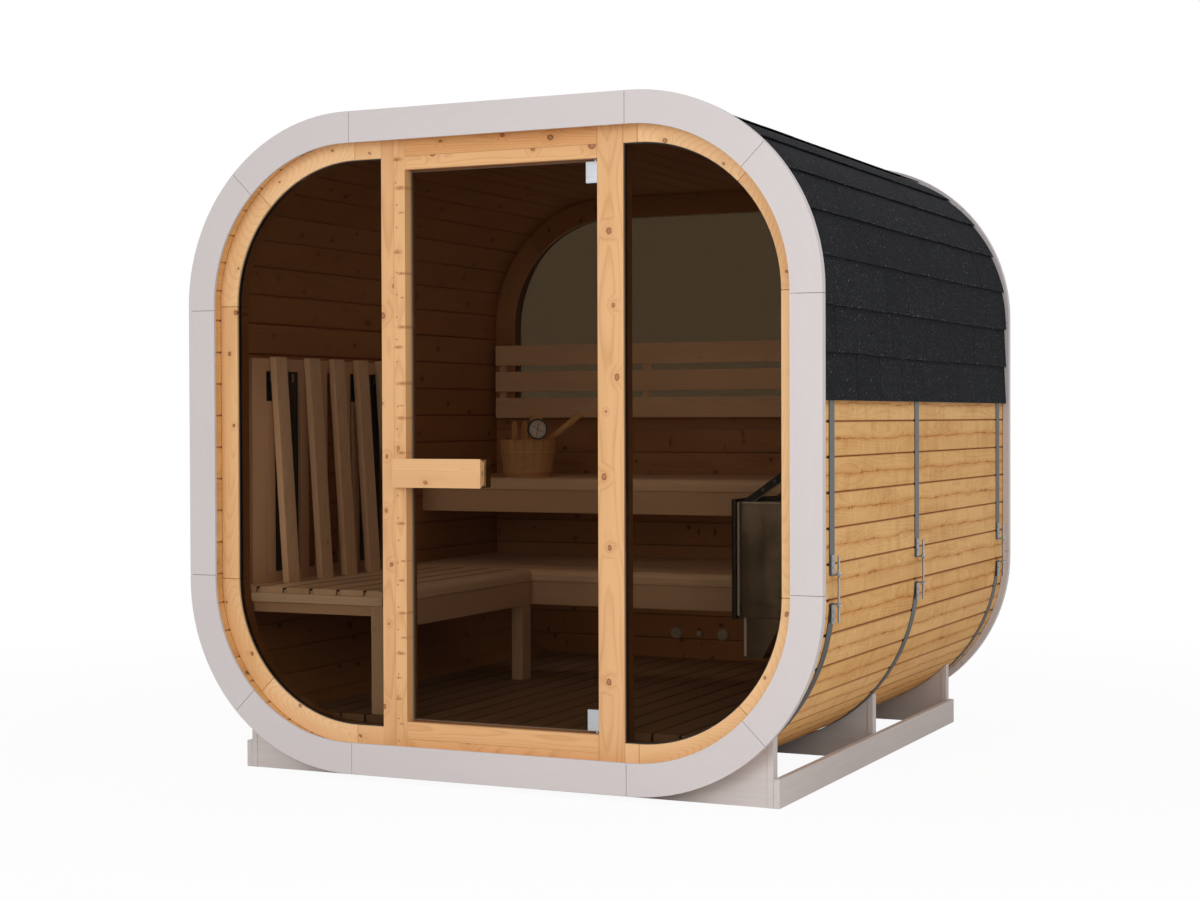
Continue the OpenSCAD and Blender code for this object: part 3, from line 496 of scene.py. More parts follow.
SHELL_WOOD = wood("shell_wood", srgb(172, 122, 78), srgb(140, 94, 56), srgb(72, 42, 24),
                  ring=0.005, knots=0.5, knot_size=0.009, spread=0.08, contrast=0.45,
                  tone=0.05, joint=(srgb(150, 82, 34), 0.9), edge=(0.0060, 0.25),
                  weather=(srgb(234, 184, 120), srgb(201, 142, 80)), rough=0.7, gloss=0.08)
# the inner handle, behind the door's glass, takes darker colours: painted shade
HANDLE_WOOD = wood("handle_wood", srgb(230, 184, 134), srgb(198, 142, 92), srgb(150, 88, 56),
                   ring=0.006, knots=1.0, knot_size=0.011, spread=0.06, contrast=0.4,
                   behind=(DOOR_BACK, srgb(132, 100, 70), srgb(106, 78, 52)))
ROOM_WOOD = wood("room_wood", srgb(178, 128, 84), srgb(144, 98, 60), srgb(70, 42, 24),
                 ring=0.005, knots=0.6, spikes=0.25, knot_size=0.008, spread=0.08,
                 contrast=0.5, tone=0.2)
FLOOR_WOOD = wood("floor_wood", srgb(151, 120, 94), srgb(120, 92, 72), srgb(84, 52, 34),
                  ring=0.006, knots=0.3, knot_size=0.005, contrast=0.4, tone=0.16,
                  joint=(srgb(40, 25, 16), 0.95), edge=(0.007, 0.75))
BENCH_WOOD = wood("bench_wood", srgb(234, 200, 170), srgb(208, 170, 136), srgb(156, 110, 78),
                  ring=0.009, knots=0.12, knot_size=0.004, contrast=0.4, tone=0.12,
                  joint=(srgb(46, 29, 19), 0.95), edge=(0.006, 0.7))
PAIL_WOOD = wood("pail_wood", srgb(222, 174, 122), srgb(188, 136, 84), srgb(120, 80, 46),
                 ring=0.004, knots=0.0, contrast=0.45, tone=0.12,
                 joint=(srgb(140, 96, 58), 0.5))
TRIM_PAINT = painted("trim_paint", srgb(209, 201, 200))
BASE_PAINT = painted("base_paint", srgb(210, 201, 198), change=0.07)
GALVANISED = metal("galvanised", srgb(88, 92, 94), 0.45, (30.0, 30.0, 30.0))
ZINC = metal("zinc", srgb(188, 191, 195), 0.32, (60.0, 60.0, 60.0))
SILVER = metal("silver", srgb(186, 190, 194), 0.38, (4.0, 4.0, 260.0), metallic=0.75)
# polished steel: its broad light and dark streaks of colour are painted reflections
POLISHED = metal("polished_steel", srgb(192, 182, 176), 0.18, (16.0, 16.0, 1.5), change=0.55,
                 dents=300.0)
BRACKET_ZINC = metal("bracket_zinc", srgb(140, 143, 147), 0.4, (30.0, 30.0, 30.0))
# pale strips along the heater's edges: painted highlights
PAINTED_HIGHLIGHT_STEEL = metal("painted_highlight_steel", srgb(232, 228, 222), 0.3, (3.0, 3.0, 60.0), metallic=0.35,
                     change=0.06)
BLACK_METAL = coated("black_metal", srgb(30, 30, 31), 0.4)
RUBBER = coated("rubber", srgb(16, 16, 16), 0.7)
PANEL_BLACK = coated("panel_black", srgb(30, 30, 31), 0.55)
PALE_PLASTIC = coated("pale_plastic", srgb(188, 180, 170), 0.5)
DIAL_WHITE = coated("dial_white", srgb(236, 232, 228), 0.35)
DIAL_RIM = coated("dial_rim", srgb(74, 82, 88), 0.4)
DIAL_INK = coated("dial_ink", srgb(58, 58, 62), 0.6)
DIAL_RED = coated("dial_red", srgb(150, 66, 44), 0.5)
RED_STRIP = coated("red_edge", srgb(176, 40, 34), 0.5)
EDGE_GLASS = coated("glass_edge", srgb(150, 150, 144), 0.25)
SHINGLE = granules("shingle")
GLASS = tinted("tinted_glass", (0.475, 0.429, 0.366, 1.0))

# ---------------------------------------------------------------------------------------
# Boards: solids with bevelled edges, each with its own run of grain
# ---------------------------------------------------------------------------------------


class Boards:
    """Boards joined into one piece. Each keeps its own grain: the attribute "grain" holds
    where a point lies along, across and through its board, and "reach" how far the board
    goes each way. paint is the number of the material that the next boards take, and
    tone how dark they are, from 0 to 1, where it isn't left to chance: a set tone paints
    light on some boards and shade on others."""

    def __init__(self, bevel=0.002, segments=2):
        self.bevel, self.segments, self.paint, self.tone = bevel, segments, 0, None
        self.points, self.faces, self.paints = [], [], []
        self.grain, self.board, self.reach = [], [], []

    def take(self, bm, along, bevel=None, face=None, joint=False):
        """Adds the mesh bm as one board whose grain runs along the given direction, and
        whose wide face looks to face. joint says that its sides are dark joints, partly
        painted shade in the gaps."""
        width = self.bevel if bevel is None else bevel
        bmesh.ops.recalc_face_normals(bm, faces=bm.faces)
        sharp = [e for e in bm.edges if len(e.link_faces) == 2
                 and e.calc_face_angle(0.0) > math.radians(24)]
        if width and sharp:
            bmesh.ops.bevel(bm, geom=sharp, offset=width, segments=self.segments,
                            profile=0.6, affect="EDGES", clamp_overlap=True)
        along = Vector(along).normalized()
        helper = Vector(face) if face else min(Matrix.Identity(3), key=lambda axis: abs(
            axis.dot(along)))
        across = along.cross(helper).normalized()
        axes = [along, across, across.cross(along)]
        spans = []
        for axis in axes:
            places = [v.co.dot(axis) for v in bm.verts]
            spans.append((min(places), max(places)))
        if not face and spans[2][1] - spans[2][0] > spans[1][1] - spans[1][0]:
            axes[1:], spans[1:] = axes[:0:-1], spans[:0:-1]
        middle = [(a + b) / 2 for a, b in spans]
        half = [(b - a) / 2 for a, b in spans]
        pith = (rng.uniform(-0.8, 0.8) * half[1],
                rng.choice((-1, 1)) * (half[2] + rng.uniform(0.0, 0.05)))
        start = rng.uniform(0.0, 60.0)
        tone = rng.random()
        if self.tone is not None:
            tone = self.tone
        base = len(self.points)
        bm.verts.index_update()
        for v in bm.verts:
            place = [v.co.dot(axis) - m for axis, m in zip(axes, middle)]
            self.points.append(v.co.copy())
            self.grain.append((place[0] + start, place[1], place[2]))
            self.board.append((*pith, tone))
            self.reach.append(tuple(half) if joint else (9.0, 9.0, 9.0))
        self.faces += [[base + v.index for v in f.verts] for f in bm.faces]
        self.paints += [self.paint] * len(bm.faces)
        bm.free()

    def solid(self, rings, along, bevel=None, face=None, joint=False):
        """One board through rings of points, closed at both ends."""
        bm = bmesh.new()
        rows = [[bm.verts.new(p) for p in ring] for ring in rings]
        n = len(rows[0])
        for a, b in zip(rows, rows[1:]):
            for i in range(n):
                bm.faces.new((a[i], a[(i + 1) % n], b[(i + 1) % n], b[i]))
        bm.faces.new(reversed(rows[0]))
        bm.faces.new(rows[-1])
        self.take(bm, along, bevel, face, joint)

    def box(self, lo, hi, along, bevel=None, face=None, joint=False):
        (x0, y0, z0), (x1, y1, z1) = lo, hi
        self.solid([[Vector((x, y0, z0)), Vector((x, y1, z0)), Vector((x, y1, z1)),
                     Vector((x, y0, z1))] for x in (x0, x1)], along, bevel, face, joint)

    def turned(self, middle, axis, profile, sides=32, ring=False, bevel=0.0):
        """A turned solid: the profile's points (radius, height) carried round the axis
        through the point middle. A ring's profile is closed. Others begin and end at
        radius 0."""
        axis = Vector(axis).normalized()
        u = axis.cross(min(Matrix.Identity(3), key=lambda a: abs(a.dot(axis)))).normalized()
        v = axis.cross(u)
        bm = bmesh.new()
        rows = []
        for radius, height in profile:
            at = Vector(middle) + axis * height
            turns = [2 * math.pi * (i + 0.5) / sides for i in range(sides if radius else 1)]
            rows.append([bm.verts.new(at + (u * math.cos(t) + v * math.sin(t)) * radius)
                         for t in turns])
        for a, b in zip(rows, rows[1:] + (rows[:1] if ring else [])):
            for i in range(sides):
                j = (i + 1) % sides
                corners = [a[i % len(a)], a[j % len(a)], b[j % len(b)], b[i % len(b)]]
                bm.faces.new(list(dict.fromkeys(corners)))
        self.take(bm, axis, bevel)

    def cad(self, node, along=None, bevel=None, face=None):
        """The solids of a CAD node, each as one board. The grain runs along the given
        direction, or else along each solid's longest reach."""
        bm = bmesh.new()
        bm.from_mesh(frame["nodes"][node].data)
        bmesh.ops.remove_doubles(bm, verts=bm.verts, dist=1e-5)
        bmesh.ops.dissolve_limit(bm, angle_limit=math.radians(0.5), verts=bm.verts,
                                 edges=bm.edges)
        left = set(bm.verts)
        while left:
            group, stack = set(), [left.pop()]
            while stack:
                v = stack.pop()
                group.add(v)
                for e in v.link_edges:
                    other = e.other_vert(v)
                    if other in left:
                        left.discard(other)
                        stack.append(other)
            part = bmesh.new()
            copies = {v: part.verts.new(v.co) for v in group}
            for f in {f for v in group for f in v.link_faces}:
                part.faces.new([copies[v] for v in f.verts])
            self.take(part, along or longest([v.co for v in part.verts]), bevel, face)
        bm.free()
        return self

    def piece(self, name, material, slot, body, *replaced):
        """Makes the piece. material is one material, or a list that paint counts in."""
        mesh = bpy.data.meshes.new(name)
        mesh.from_pydata(self.points, [], self.faces)
        for kind, values in (("grain", self.grain), ("board", self.board),
                             ("reach", self.reach)):
            layer = mesh.attributes.new(kind, "FLOAT_VECTOR", "POINT")
            layer.data.foreach_set("vector", [c for value in values for c in value])
        for one in material if isinstance(material, (list, tuple)) else [material]:
            mesh.materials.append(one)
        mesh.polygons.foreach_set("material_index", self.paints)
        mesh.shade_smooth()
        mesh.set_sharp_from_angle(angle=math.radians(40))
        piece = bpy.data.objects.new(name, mesh)
        bpy.context.scene.collection.objects.link(piece)
        even = piece.modifiers.new("even_shading", "WEIGHTED_NORMAL")
        even.keep_sharp = True
        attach(piece, body)
        if replaced:
            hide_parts(*replaced)
        return piece


def longest(points):
    """The direction in which points reach furthest."""
    middle = sum(points, Vector()) / len(points)
    best = max(points, key=lambda p: (p - middle).length)
    far = max(points, key=lambda p: (p - best).length)
    return far - best


def dress(node, material, slot, along=None, bevel=0.002, face=None, tone=None):
    """A CAD node's own shape, with soft edges and grain."""
    boards = Boards(bevel)
    boards.tone = tone
    boards.cad(node, along, face=face)
    return boards.piece(node + "_dressed", material, slot, frame["nodes"][node]["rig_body"],
                        node)


# ---------------------------------------------------------------------------------------
# Shell
# ---------------------------------------------------------------------------------------

CHAMFER = 0.004
OUTWARDS = (0, -1, 0)


def plank_section(s0, s1, y, lift):
    """A plank's section between two grooves: chamfered outside and inside, with a narrow
    slot in the bottom of each groove."""
    (p0, n0), (p1, n1) = around(s0), around(s1)
    face = (p1 - p0).normalized()
    slot = 0.0006
    section = []
    for corner, normal, side in ((p0, n0, face), (p1, n1, -face)):
        edge = [corner + side * (CHAMFER + slot) + normal * lift,
                corner + side * slot - normal * CHAMFER,
                corner + side * slot - normal * 0.007,
                corner - normal * 0.008,
                corner - normal * (WALL - 0.008),
                corner + side * slot - normal * (WALL - 0.007),
                corner + side * slot - normal * (WALL - CHAMFER),
                corner + side * (CHAMFER + slot) - normal * WALL]
        section += edge if side is face else list(reversed(edge))
    if (n0 - n1).length > 0.01:
        # the round corners' planks are round too
        places = [(p, n) for p, n in (around(s0 + (s1 - s0) * i / 4) for i in (1, 2, 3))]
        section = (section[:8] + [p - n * WALL for p, n in places] + section[8:]
                   + [p + n * lift for p, n in reversed(places)])
    return [Vector((p.x, y, p.y)) for p in section]


def shell_planks():
    boards = Boards(0.0008, 1)
    count = round(AROUND / PLANK)
    pitch = AROUND / count
    for i in range(count):
        s = FIRST_GROOVE + i * pitch
        lift = rng.uniform(-0.0012, 0.0)
        _, out = around(s + pitch / 2)
        boards.solid([plank_section(s, s + pitch, y, lift) for y in (SHELL_FRONT, SHELL_BACK)],
                     (0, 1, 0), face=(out.x, 0, out.y), joint=True)
    boards.piece("shell_planks", SHELL_WOOD, "shell_wood", "cabin", "shell_under", "shell_top",
                 "shell_left", "shell_right", "shell_corner_low_left", "shell_corner_low_right",
                 "shell_corner_top_left", "shell_corner_top_right")


shell_planks()


def floor_planks():
    boards = Boards(0.003)
    lo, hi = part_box("floor_boards")
    count = round((hi.x - lo.x) / 0.095)
    pitch = (hi.x - lo.x) / count
    for i in range(count):
        x0, x1 = lo.x + i * pitch + 0.001, lo.x + (i + 1) * pitch - 0.001
        under = room_x(lo.z, 0.002)
        section = [(max(x0, -under), lo.z), (min(x1, under), lo.z), (x1, hi.z), (x0, hi.z)]
        boards.solid([[Vector((x, y, z)) for x, z in section] for y in (lo.y, hi.y)], (0, 1, 0),
                     face=(0, 0, 1), joint=True)
    boards.piece("floor_planks", FLOOR_WOOD, "shell_wood", "cabin", "floor_boards")


floor_planks()


def rear_wall():
    boards = Boards(0.004)
    lo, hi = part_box("rear_wall_boards")
    pitch = 0.093
    z1 = hi.z
    while z1 > lo.z + 0.01:
        z0 = max(z1 - pitch, lo.z)
        heights = [z0 + 0.0005 + (z1 - z0 - 0.0005) * i / 6 for i in range(7)]
        section = [(room_x(z, 0.001), z) for z in heights]
        section += [(-x, z) for x, z in reversed(section)]
        boards.solid([[Vector((x, y, z)) for x, z in section] for y in (lo.y, hi.y)], (1, 0, 0),
                     face=OUTWARDS, joint=True)
        z1 -= pitch
    boards.piece("rear_wall_planks", ROOM_WOOD, "shell_wood", "cabin", "rear_wall_boards")


rear_wall()

# ---------------------------------------------------------------------------------------
# Trim, frame and base
# ---------------------------------------------------------------------------------------

dress("trim_front", TRIM_PAINT, "painted_trim", bevel=0.001)
dress("trim_rear", TRIM_PAINT, "painted_trim", bevel=0.001)
for node in ("cradle_front", "cradle_middle", "cradle_rear"):
    dress(node, BASE_PAINT, "painted_timber", (1, 0, 0), 0.0015)
for node in ("rail_left", "rail_right"):
    dress(node, BASE_PAINT, "painted_timber", (0, 1, 0), 0.002)
dress("front_frame_round", ARC_WOOD, "frame_wood", bevel=0.0025, face=OUTWARDS)
dress("rear_frame_round", ROOM_WOOD, "frame_wood", bevel=0.0025, face=OUTWARDS)
dress("rear_rail", ROOM_WOOD, "frame_wood", (1, 0, 0), face=OUTWARDS)
dress("post_right", SMOOTH_WOOD, "frame_wood", (0, 0, 1), 0.003, OUTWARDS)


def laminated(node, along, share, *materials):
    """A timber glued up from two boards, whose seam shows as a hairline at that share of
    its width."""
    lo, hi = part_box(node)
    boards = Boards(0.003)
    axis = 0 if along[2] else 2
    seam = lo[axis] + (hi[axis] - lo[axis]) * share
    for first, last in ((lo[axis], seam - 0.0001), (seam + 0.0001, hi[axis])):
        a, b = lo.copy(), hi.copy()
        a[axis], b[axis] = first, last
        boards.box(a, b, along, 0.0012, OUTWARDS)
        boards.paint = len(materials) - 1
    boards.piece(node + "_dressed", materials, "frame_wood", "cabin", node)


laminated("post_left", (0, 0, 1), 0.52, SMOOTH_WOOD, POST_WOOD)
laminated("header", (1, 0, 0), 0.4, FRAME_WOOD)
laminated("sill", (1, 0, 0), 0.36, FRAME_WOOD)
dress("glass_seals", RUBBER, "seal_rubber", (0, 0, 1), 0.0)
for node in ("glass_left", "glass_right", "door_glass", "rear_glass"):
    sheet = frame["nodes"][node]
    sheet.data.materials.clear()
    sheet.data.materials.append(GLASS)

# ---------------------------------------------------------------------------------------
# Door fittings
# ---------------------------------------------------------------------------------------

UPRIGHT = (0, 0, 1)


def hinges():
    """Each hinge clamps the glass between two plates, which have a raised cover each."""
    boards = Boards(0.0012)
    lo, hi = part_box("door_hinges")
    glass_lo, glass_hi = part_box("door_glass")
    height, rim, cover, gasket = 0.066, 0.0035, 0.0015, 0.0006
    for z in (lo.z, hi.z - height):
        for out, y_glass, y_out in ((-1, glass_lo.y, lo.y), (1, glass_hi.y, hi.y)):
            inner = y_glass + out * gasket
            outer = y_out - out * cover
            y0, y1 = sorted((inner, outer))
            boards.paint = 0
            boards.box((lo.x, y0, z), (hi.x, y1, z + height), UPRIGHT)
            y0, y1 = sorted((outer, y_out))
            boards.box((lo.x + rim, y0, z + rim), (hi.x - rim, y1, z + height - rim), UPRIGHT,
                       0.0006)
            boards.paint = 1
            y0, y1 = sorted((y_glass, inner))
            boards.box((lo.x + 0.001, y0, z + 0.001), (hi.x - 0.001, y1, z + height - 0.001),
                       UPRIGHT, 0.0)
    boards.piece("door_hinges_dressed", (SILVER, RUBBER), "hinge_metal", "door", "door_hinges")


def glass_edges():
    """The ground edges of the door's glass, which look pale."""
    lo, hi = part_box("door_glass")
    boards, t = Boards(0.0), 0.0004
    for x0, x1 in ((lo.x - t, lo.x), (hi.x, hi.x + t)):
        boards.box((x0, lo.y, lo.z - t), (x1, hi.y, hi.z + t), UPRIGHT)
    for z0, z1 in ((lo.z - t, lo.z), (hi.z, hi.z + t)):
        boards.box((lo.x, lo.y, z0), (hi.x, hi.y, z1), (1, 0, 0))
    boards.piece("door_glass_edges", EDGE_GLASS, "tinted_glass", "door")


def handle_plug():
    """The plug that closes the dowel's hole in the end of the outer handle."""
    lo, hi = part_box("door_handle_outer")
    z, y, half_h, half_w = (lo.z + hi.z) / 2, lo.y + 0.0135, 0.008, 0.0022
    boards = Boards(0.0008)
    boards.box((hi.x - 0.004, y - half_w, z - half_h), (hi.x + 0.0004, y + half_w, z + half_h),
               UPRIGHT)
    boards.piece("door_handle_plug", BLACK_METAL, "guard_metal", "door")


def outer_handle():
    """A block that narrows towards the glass, on two pins."""
    lo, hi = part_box("door_handle_outer")
    thick, narrow, pin_r = 0.027, 0.0125, 0.010
    back, length, middle_z = lo.y + thick, hi.x - lo.x, (lo.z + hi.z) / 2
    boards = Boards(0.0015)
    boards.solid([[Vector((x, lo.y, lo.z)), Vector((x, back, lo.z + narrow)),
                   Vector((x, back, hi.z - narrow)), Vector((x, lo.y, hi.z))]
                  for x in (lo.x, hi.x)], (1, 0, 0), face=OUTWARDS)
    for share in (0.35, 0.8):
        boards.turned((lo.x + length * share, back, middle_z), (0, 1, 0),
                      [(0.0, 0.0), (pin_r, 0.0), (pin_r, hi.y - back), (0.0, hi.y - back)],
                      24, bevel=0.0)
    boards.piece("door_handle_outer_dressed", HANDLE_WOOD, "frame_wood", "door",
                 "door_handle_outer")


hinges()
glass_edges()
handle_plug()
dress("door_pins", SILVER, "hinge_metal", UPRIGHT, 0.0005)
outer_handle()
dress("door_handle_inner", HANDLE_WOOD, "frame_wood", (1, 0, 0), 0.005, OUTWARDS)

# ---------------------------------------------------------------------------------------
# Benches, backrest and heat screen
# ---------------------------------------------------------------------------------------

NOSE_W, NOSE_T, NOSE_R = 0.066, 0.044, 0.024      # the rounded board along a bench's edge
SLAT_W, SLAT_T, SLAT_GAP = 0.096, 0.020, 0.008
APRON_H, APRON_T = 0.086, 0.026
BEARER = 0.045


def bench_boards(boards, place, depth, top, length, along):
    """A bench top from its rounded edge back to depth. place(a, b, z) gives the point a
    metres back from the edge and b metres along it; length(z) gives where it ends there."""

    def run(section, joint=False):
        ends = [[], []]
        for a, z in section:
            for i, b in enumerate(length(z)):
                ends[i].append(place(a, b, z))
        boards.solid(ends, along, face=UPRIGHT, joint=joint)

    nose = [(NOSE_W, top), (NOSE_W, top - NOSE_T), (0.0, top - NOSE_T)]
    for i in range(9):
        turn = math.pi / 2 * i / 8
        nose.append((NOSE_R - NOSE_R * math.cos(turn), top - NOSE_R + NOSE_R * math.sin(turn)))
    # the nose is painted lighter and the apron under it darker: painted light from above on the
    # nose, painted shade on the apron
    boards.tone = 0.0
    run(nose)
    under = top - NOSE_T - 0.0004
    boards.tone = 1.3
    run([(0.003, under), (0.003, under - APRON_H), (0.003 + APRON_T, under - APRON_H),
         (0.003 + APRON_T, under)])
    boards.tone = None
    a = NOSE_W + SLAT_GAP
    while a < depth - 0.02:
        b = a + SLAT_W if depth - a - SLAT_W - SLAT_GAP > 0.025 else depth
        run([(a, top), (a, top - SLAT_T), (b, top - SLAT_T), (b, top)], True)
        a = b + SLAT_GAP


def benches():
    for node in ("bench_rear", "bench_upper"):
        lo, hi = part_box(node)
        boards = Boards(0.003)
        bench_boards(boards, lambda a, b, z: Vector((b, lo.y + a, z)), hi.y - lo.y, hi.z,
                     lambda z: (-room_x(z, 0.001), room_x(z, 0.001)), (1, 0, 0))
        low_z = hi.z - NOSE_T - 0.020
        reach = room_x(low_z, 0.001)
        for x in (-reach, reach - BEARER):
            boards.box((x, lo.y + NOSE_W, low_z), (x + BEARER, hi.y, hi.z - SLAT_T), (0, 1, 0))
        boards.box((-reach + BEARER, hi.y - BEARER, low_z), (reach - BEARER, hi.y,
                                                             hi.z - SLAT_T), (1, 0, 0))
        boards.piece(node + "_dressed", BENCH_WOOD, "bench_wood", "cabin", node)
    lo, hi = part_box("bench_left")
    boards = Boards(0.003)
    wall = -room_x(hi.z - SLAT_T, 0.001)
    bench_boards(boards, lambda a, b, z: Vector((hi.x - a, b, z)), hi.x - wall, hi.z,
                 lambda z: (lo.y + (0.006 if z > hi.z - NOSE_T - 0.0002
                                    else 0.0125 + BEARER), hi.y), (0, 1, 0))
    under = hi.z - SLAT_T
    # the upper bar is painted lighter and the lower bar, set back under it, darker: painted
    # highlight and painted shade
    for y, z, h, tone in ((lo.y, under, 0.029, -1.0), (lo.y + 0.012, under - 0.029, 0.035, 1.6)):
        boards.tone = tone
        boards.box((-room_x(z - h, 0.001), y, z - h), (hi.x - 0.003, y + BEARER, z), (1, 0, 0))
    boards.tone = None
    # behind the slats' ends, so that the gaps between them are shallow in front
    boards.box((wall, lo.y + 0.010, under), (hi.x - NOSE_W, lo.y + BEARER, hi.z - 0.008),
               (1, 0, 0), 0.0)
    # the front leg runs up in front of the lower bar
    leg_lo, leg_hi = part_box("bench_legs")
    boards.box((leg_lo.x, lo.y + 0.0112, leg_hi.z), (leg_hi.x, lo.y + 0.0118 + BEARER,
                                                     under - 0.029), UPRIGHT, 0.001)
    boards.box((-room_x(under - 0.036, 0.001), hi.y - BEARER, under - 0.036),
               (hi.x - 0.030, hi.y, under), (1, 0, 0))
    boards.piece("bench_left_dressed", BENCH_WOOD, "bench_wood", "cabin", "bench_left")
    dress("bench_legs", BENCH_WOOD, "bench_wood", (0, 0, 1), 0.004)


def backrest():
    lo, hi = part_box("backrest")
    boards = Boards(0.004)
    height, pitch, thick, batten = 0.083, 0.108, 0.022, 0.024
    back = hi.y - batten
    for i in range(3):
        z = lo.z + i * pitch
        boards.box((lo.x, back - thick, z), (hi.x, back, z + height), (1, 0, 0))
    first = lo.x + 0.008
    step = (hi.x - lo.x - 0.016 - 0.026) / 3
    for i in range(4):
        boards.box((first + i * step, back + 0.0002, lo.z), (first + i * step + 0.026, hi.y,
                                                            hi.z), (0, 0, 1), 0.001)
    boards.piece("backrest_dressed", BENCH_WOOD, "bench_wood", "cabin", "backrest")


benches()
backrest()
# the frame is painted darker and the slats lighter: painted shade on the frame behind the slats,
# painted light on the slats
dress("heat_screen_frame", BENCH_WOOD, "bench_wood", UPRIGHT, 0.002, tone=1.6)
dress("heat_screen_slats", BENCH_WOOD, "bench_wood", UPRIGHT, 0.002, (1, 0, 0), tone=0.3)
dress("heat_panels", PANEL_BLACK, "heat_panel", UPRIGHT, 0.003)


def panel_fittings():
    """Each heat panel hangs on a bracket with two clips. It has a wooden stile over its
    front edge, and a red edge strip."""
    lo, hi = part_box("heat_panels")
    width, bracket_h, plate, red_in, stile = 0.2002, 0.1, 0.003, 0.138, 0.045
    boards = Boards(0.0008)
    for y in (lo.y, hi.y - width):
        boards.paint = 0
        boards.box((hi.x, y + 0.01, hi.z - bracket_h), (hi.x + plate, y + width - 0.01,
                                                        hi.z - 0.004), UPRIGHT)
        boards.paint = 1
        for share in (0.12, 0.76):
            at = y + width * share
            boards.box((hi.x + plate, at, hi.z - 0.036), (hi.x + 0.007, at + 0.012,
                                                          hi.z - 0.008), UPRIGHT)
        boards.paint = 2
        boards.box((hi.x, y + red_in, lo.z + 0.1), (hi.x + 0.0022, y + red_in + 0.004,
                                                    hi.z - bracket_h - 0.002), UPRIGHT)
        boards.paint = 3
        boards.box((hi.x, y, lo.z), (hi.x + 0.0078, y + stile, hi.z - bracket_h - 0.002),
                   UPRIGHT, 0.0015, (1, 0, 0))
    boards.piece("heat_panel_fittings", (BLACK_METAL, ZINC, RED_STRIP, BENCH_WOOD),
                 "heat_panel", "cabin")


panel_fittings()

# ---------------------------------------------------------------------------------------
# Heater, pail and small things
# ---------------------------------------------------------------------------------------

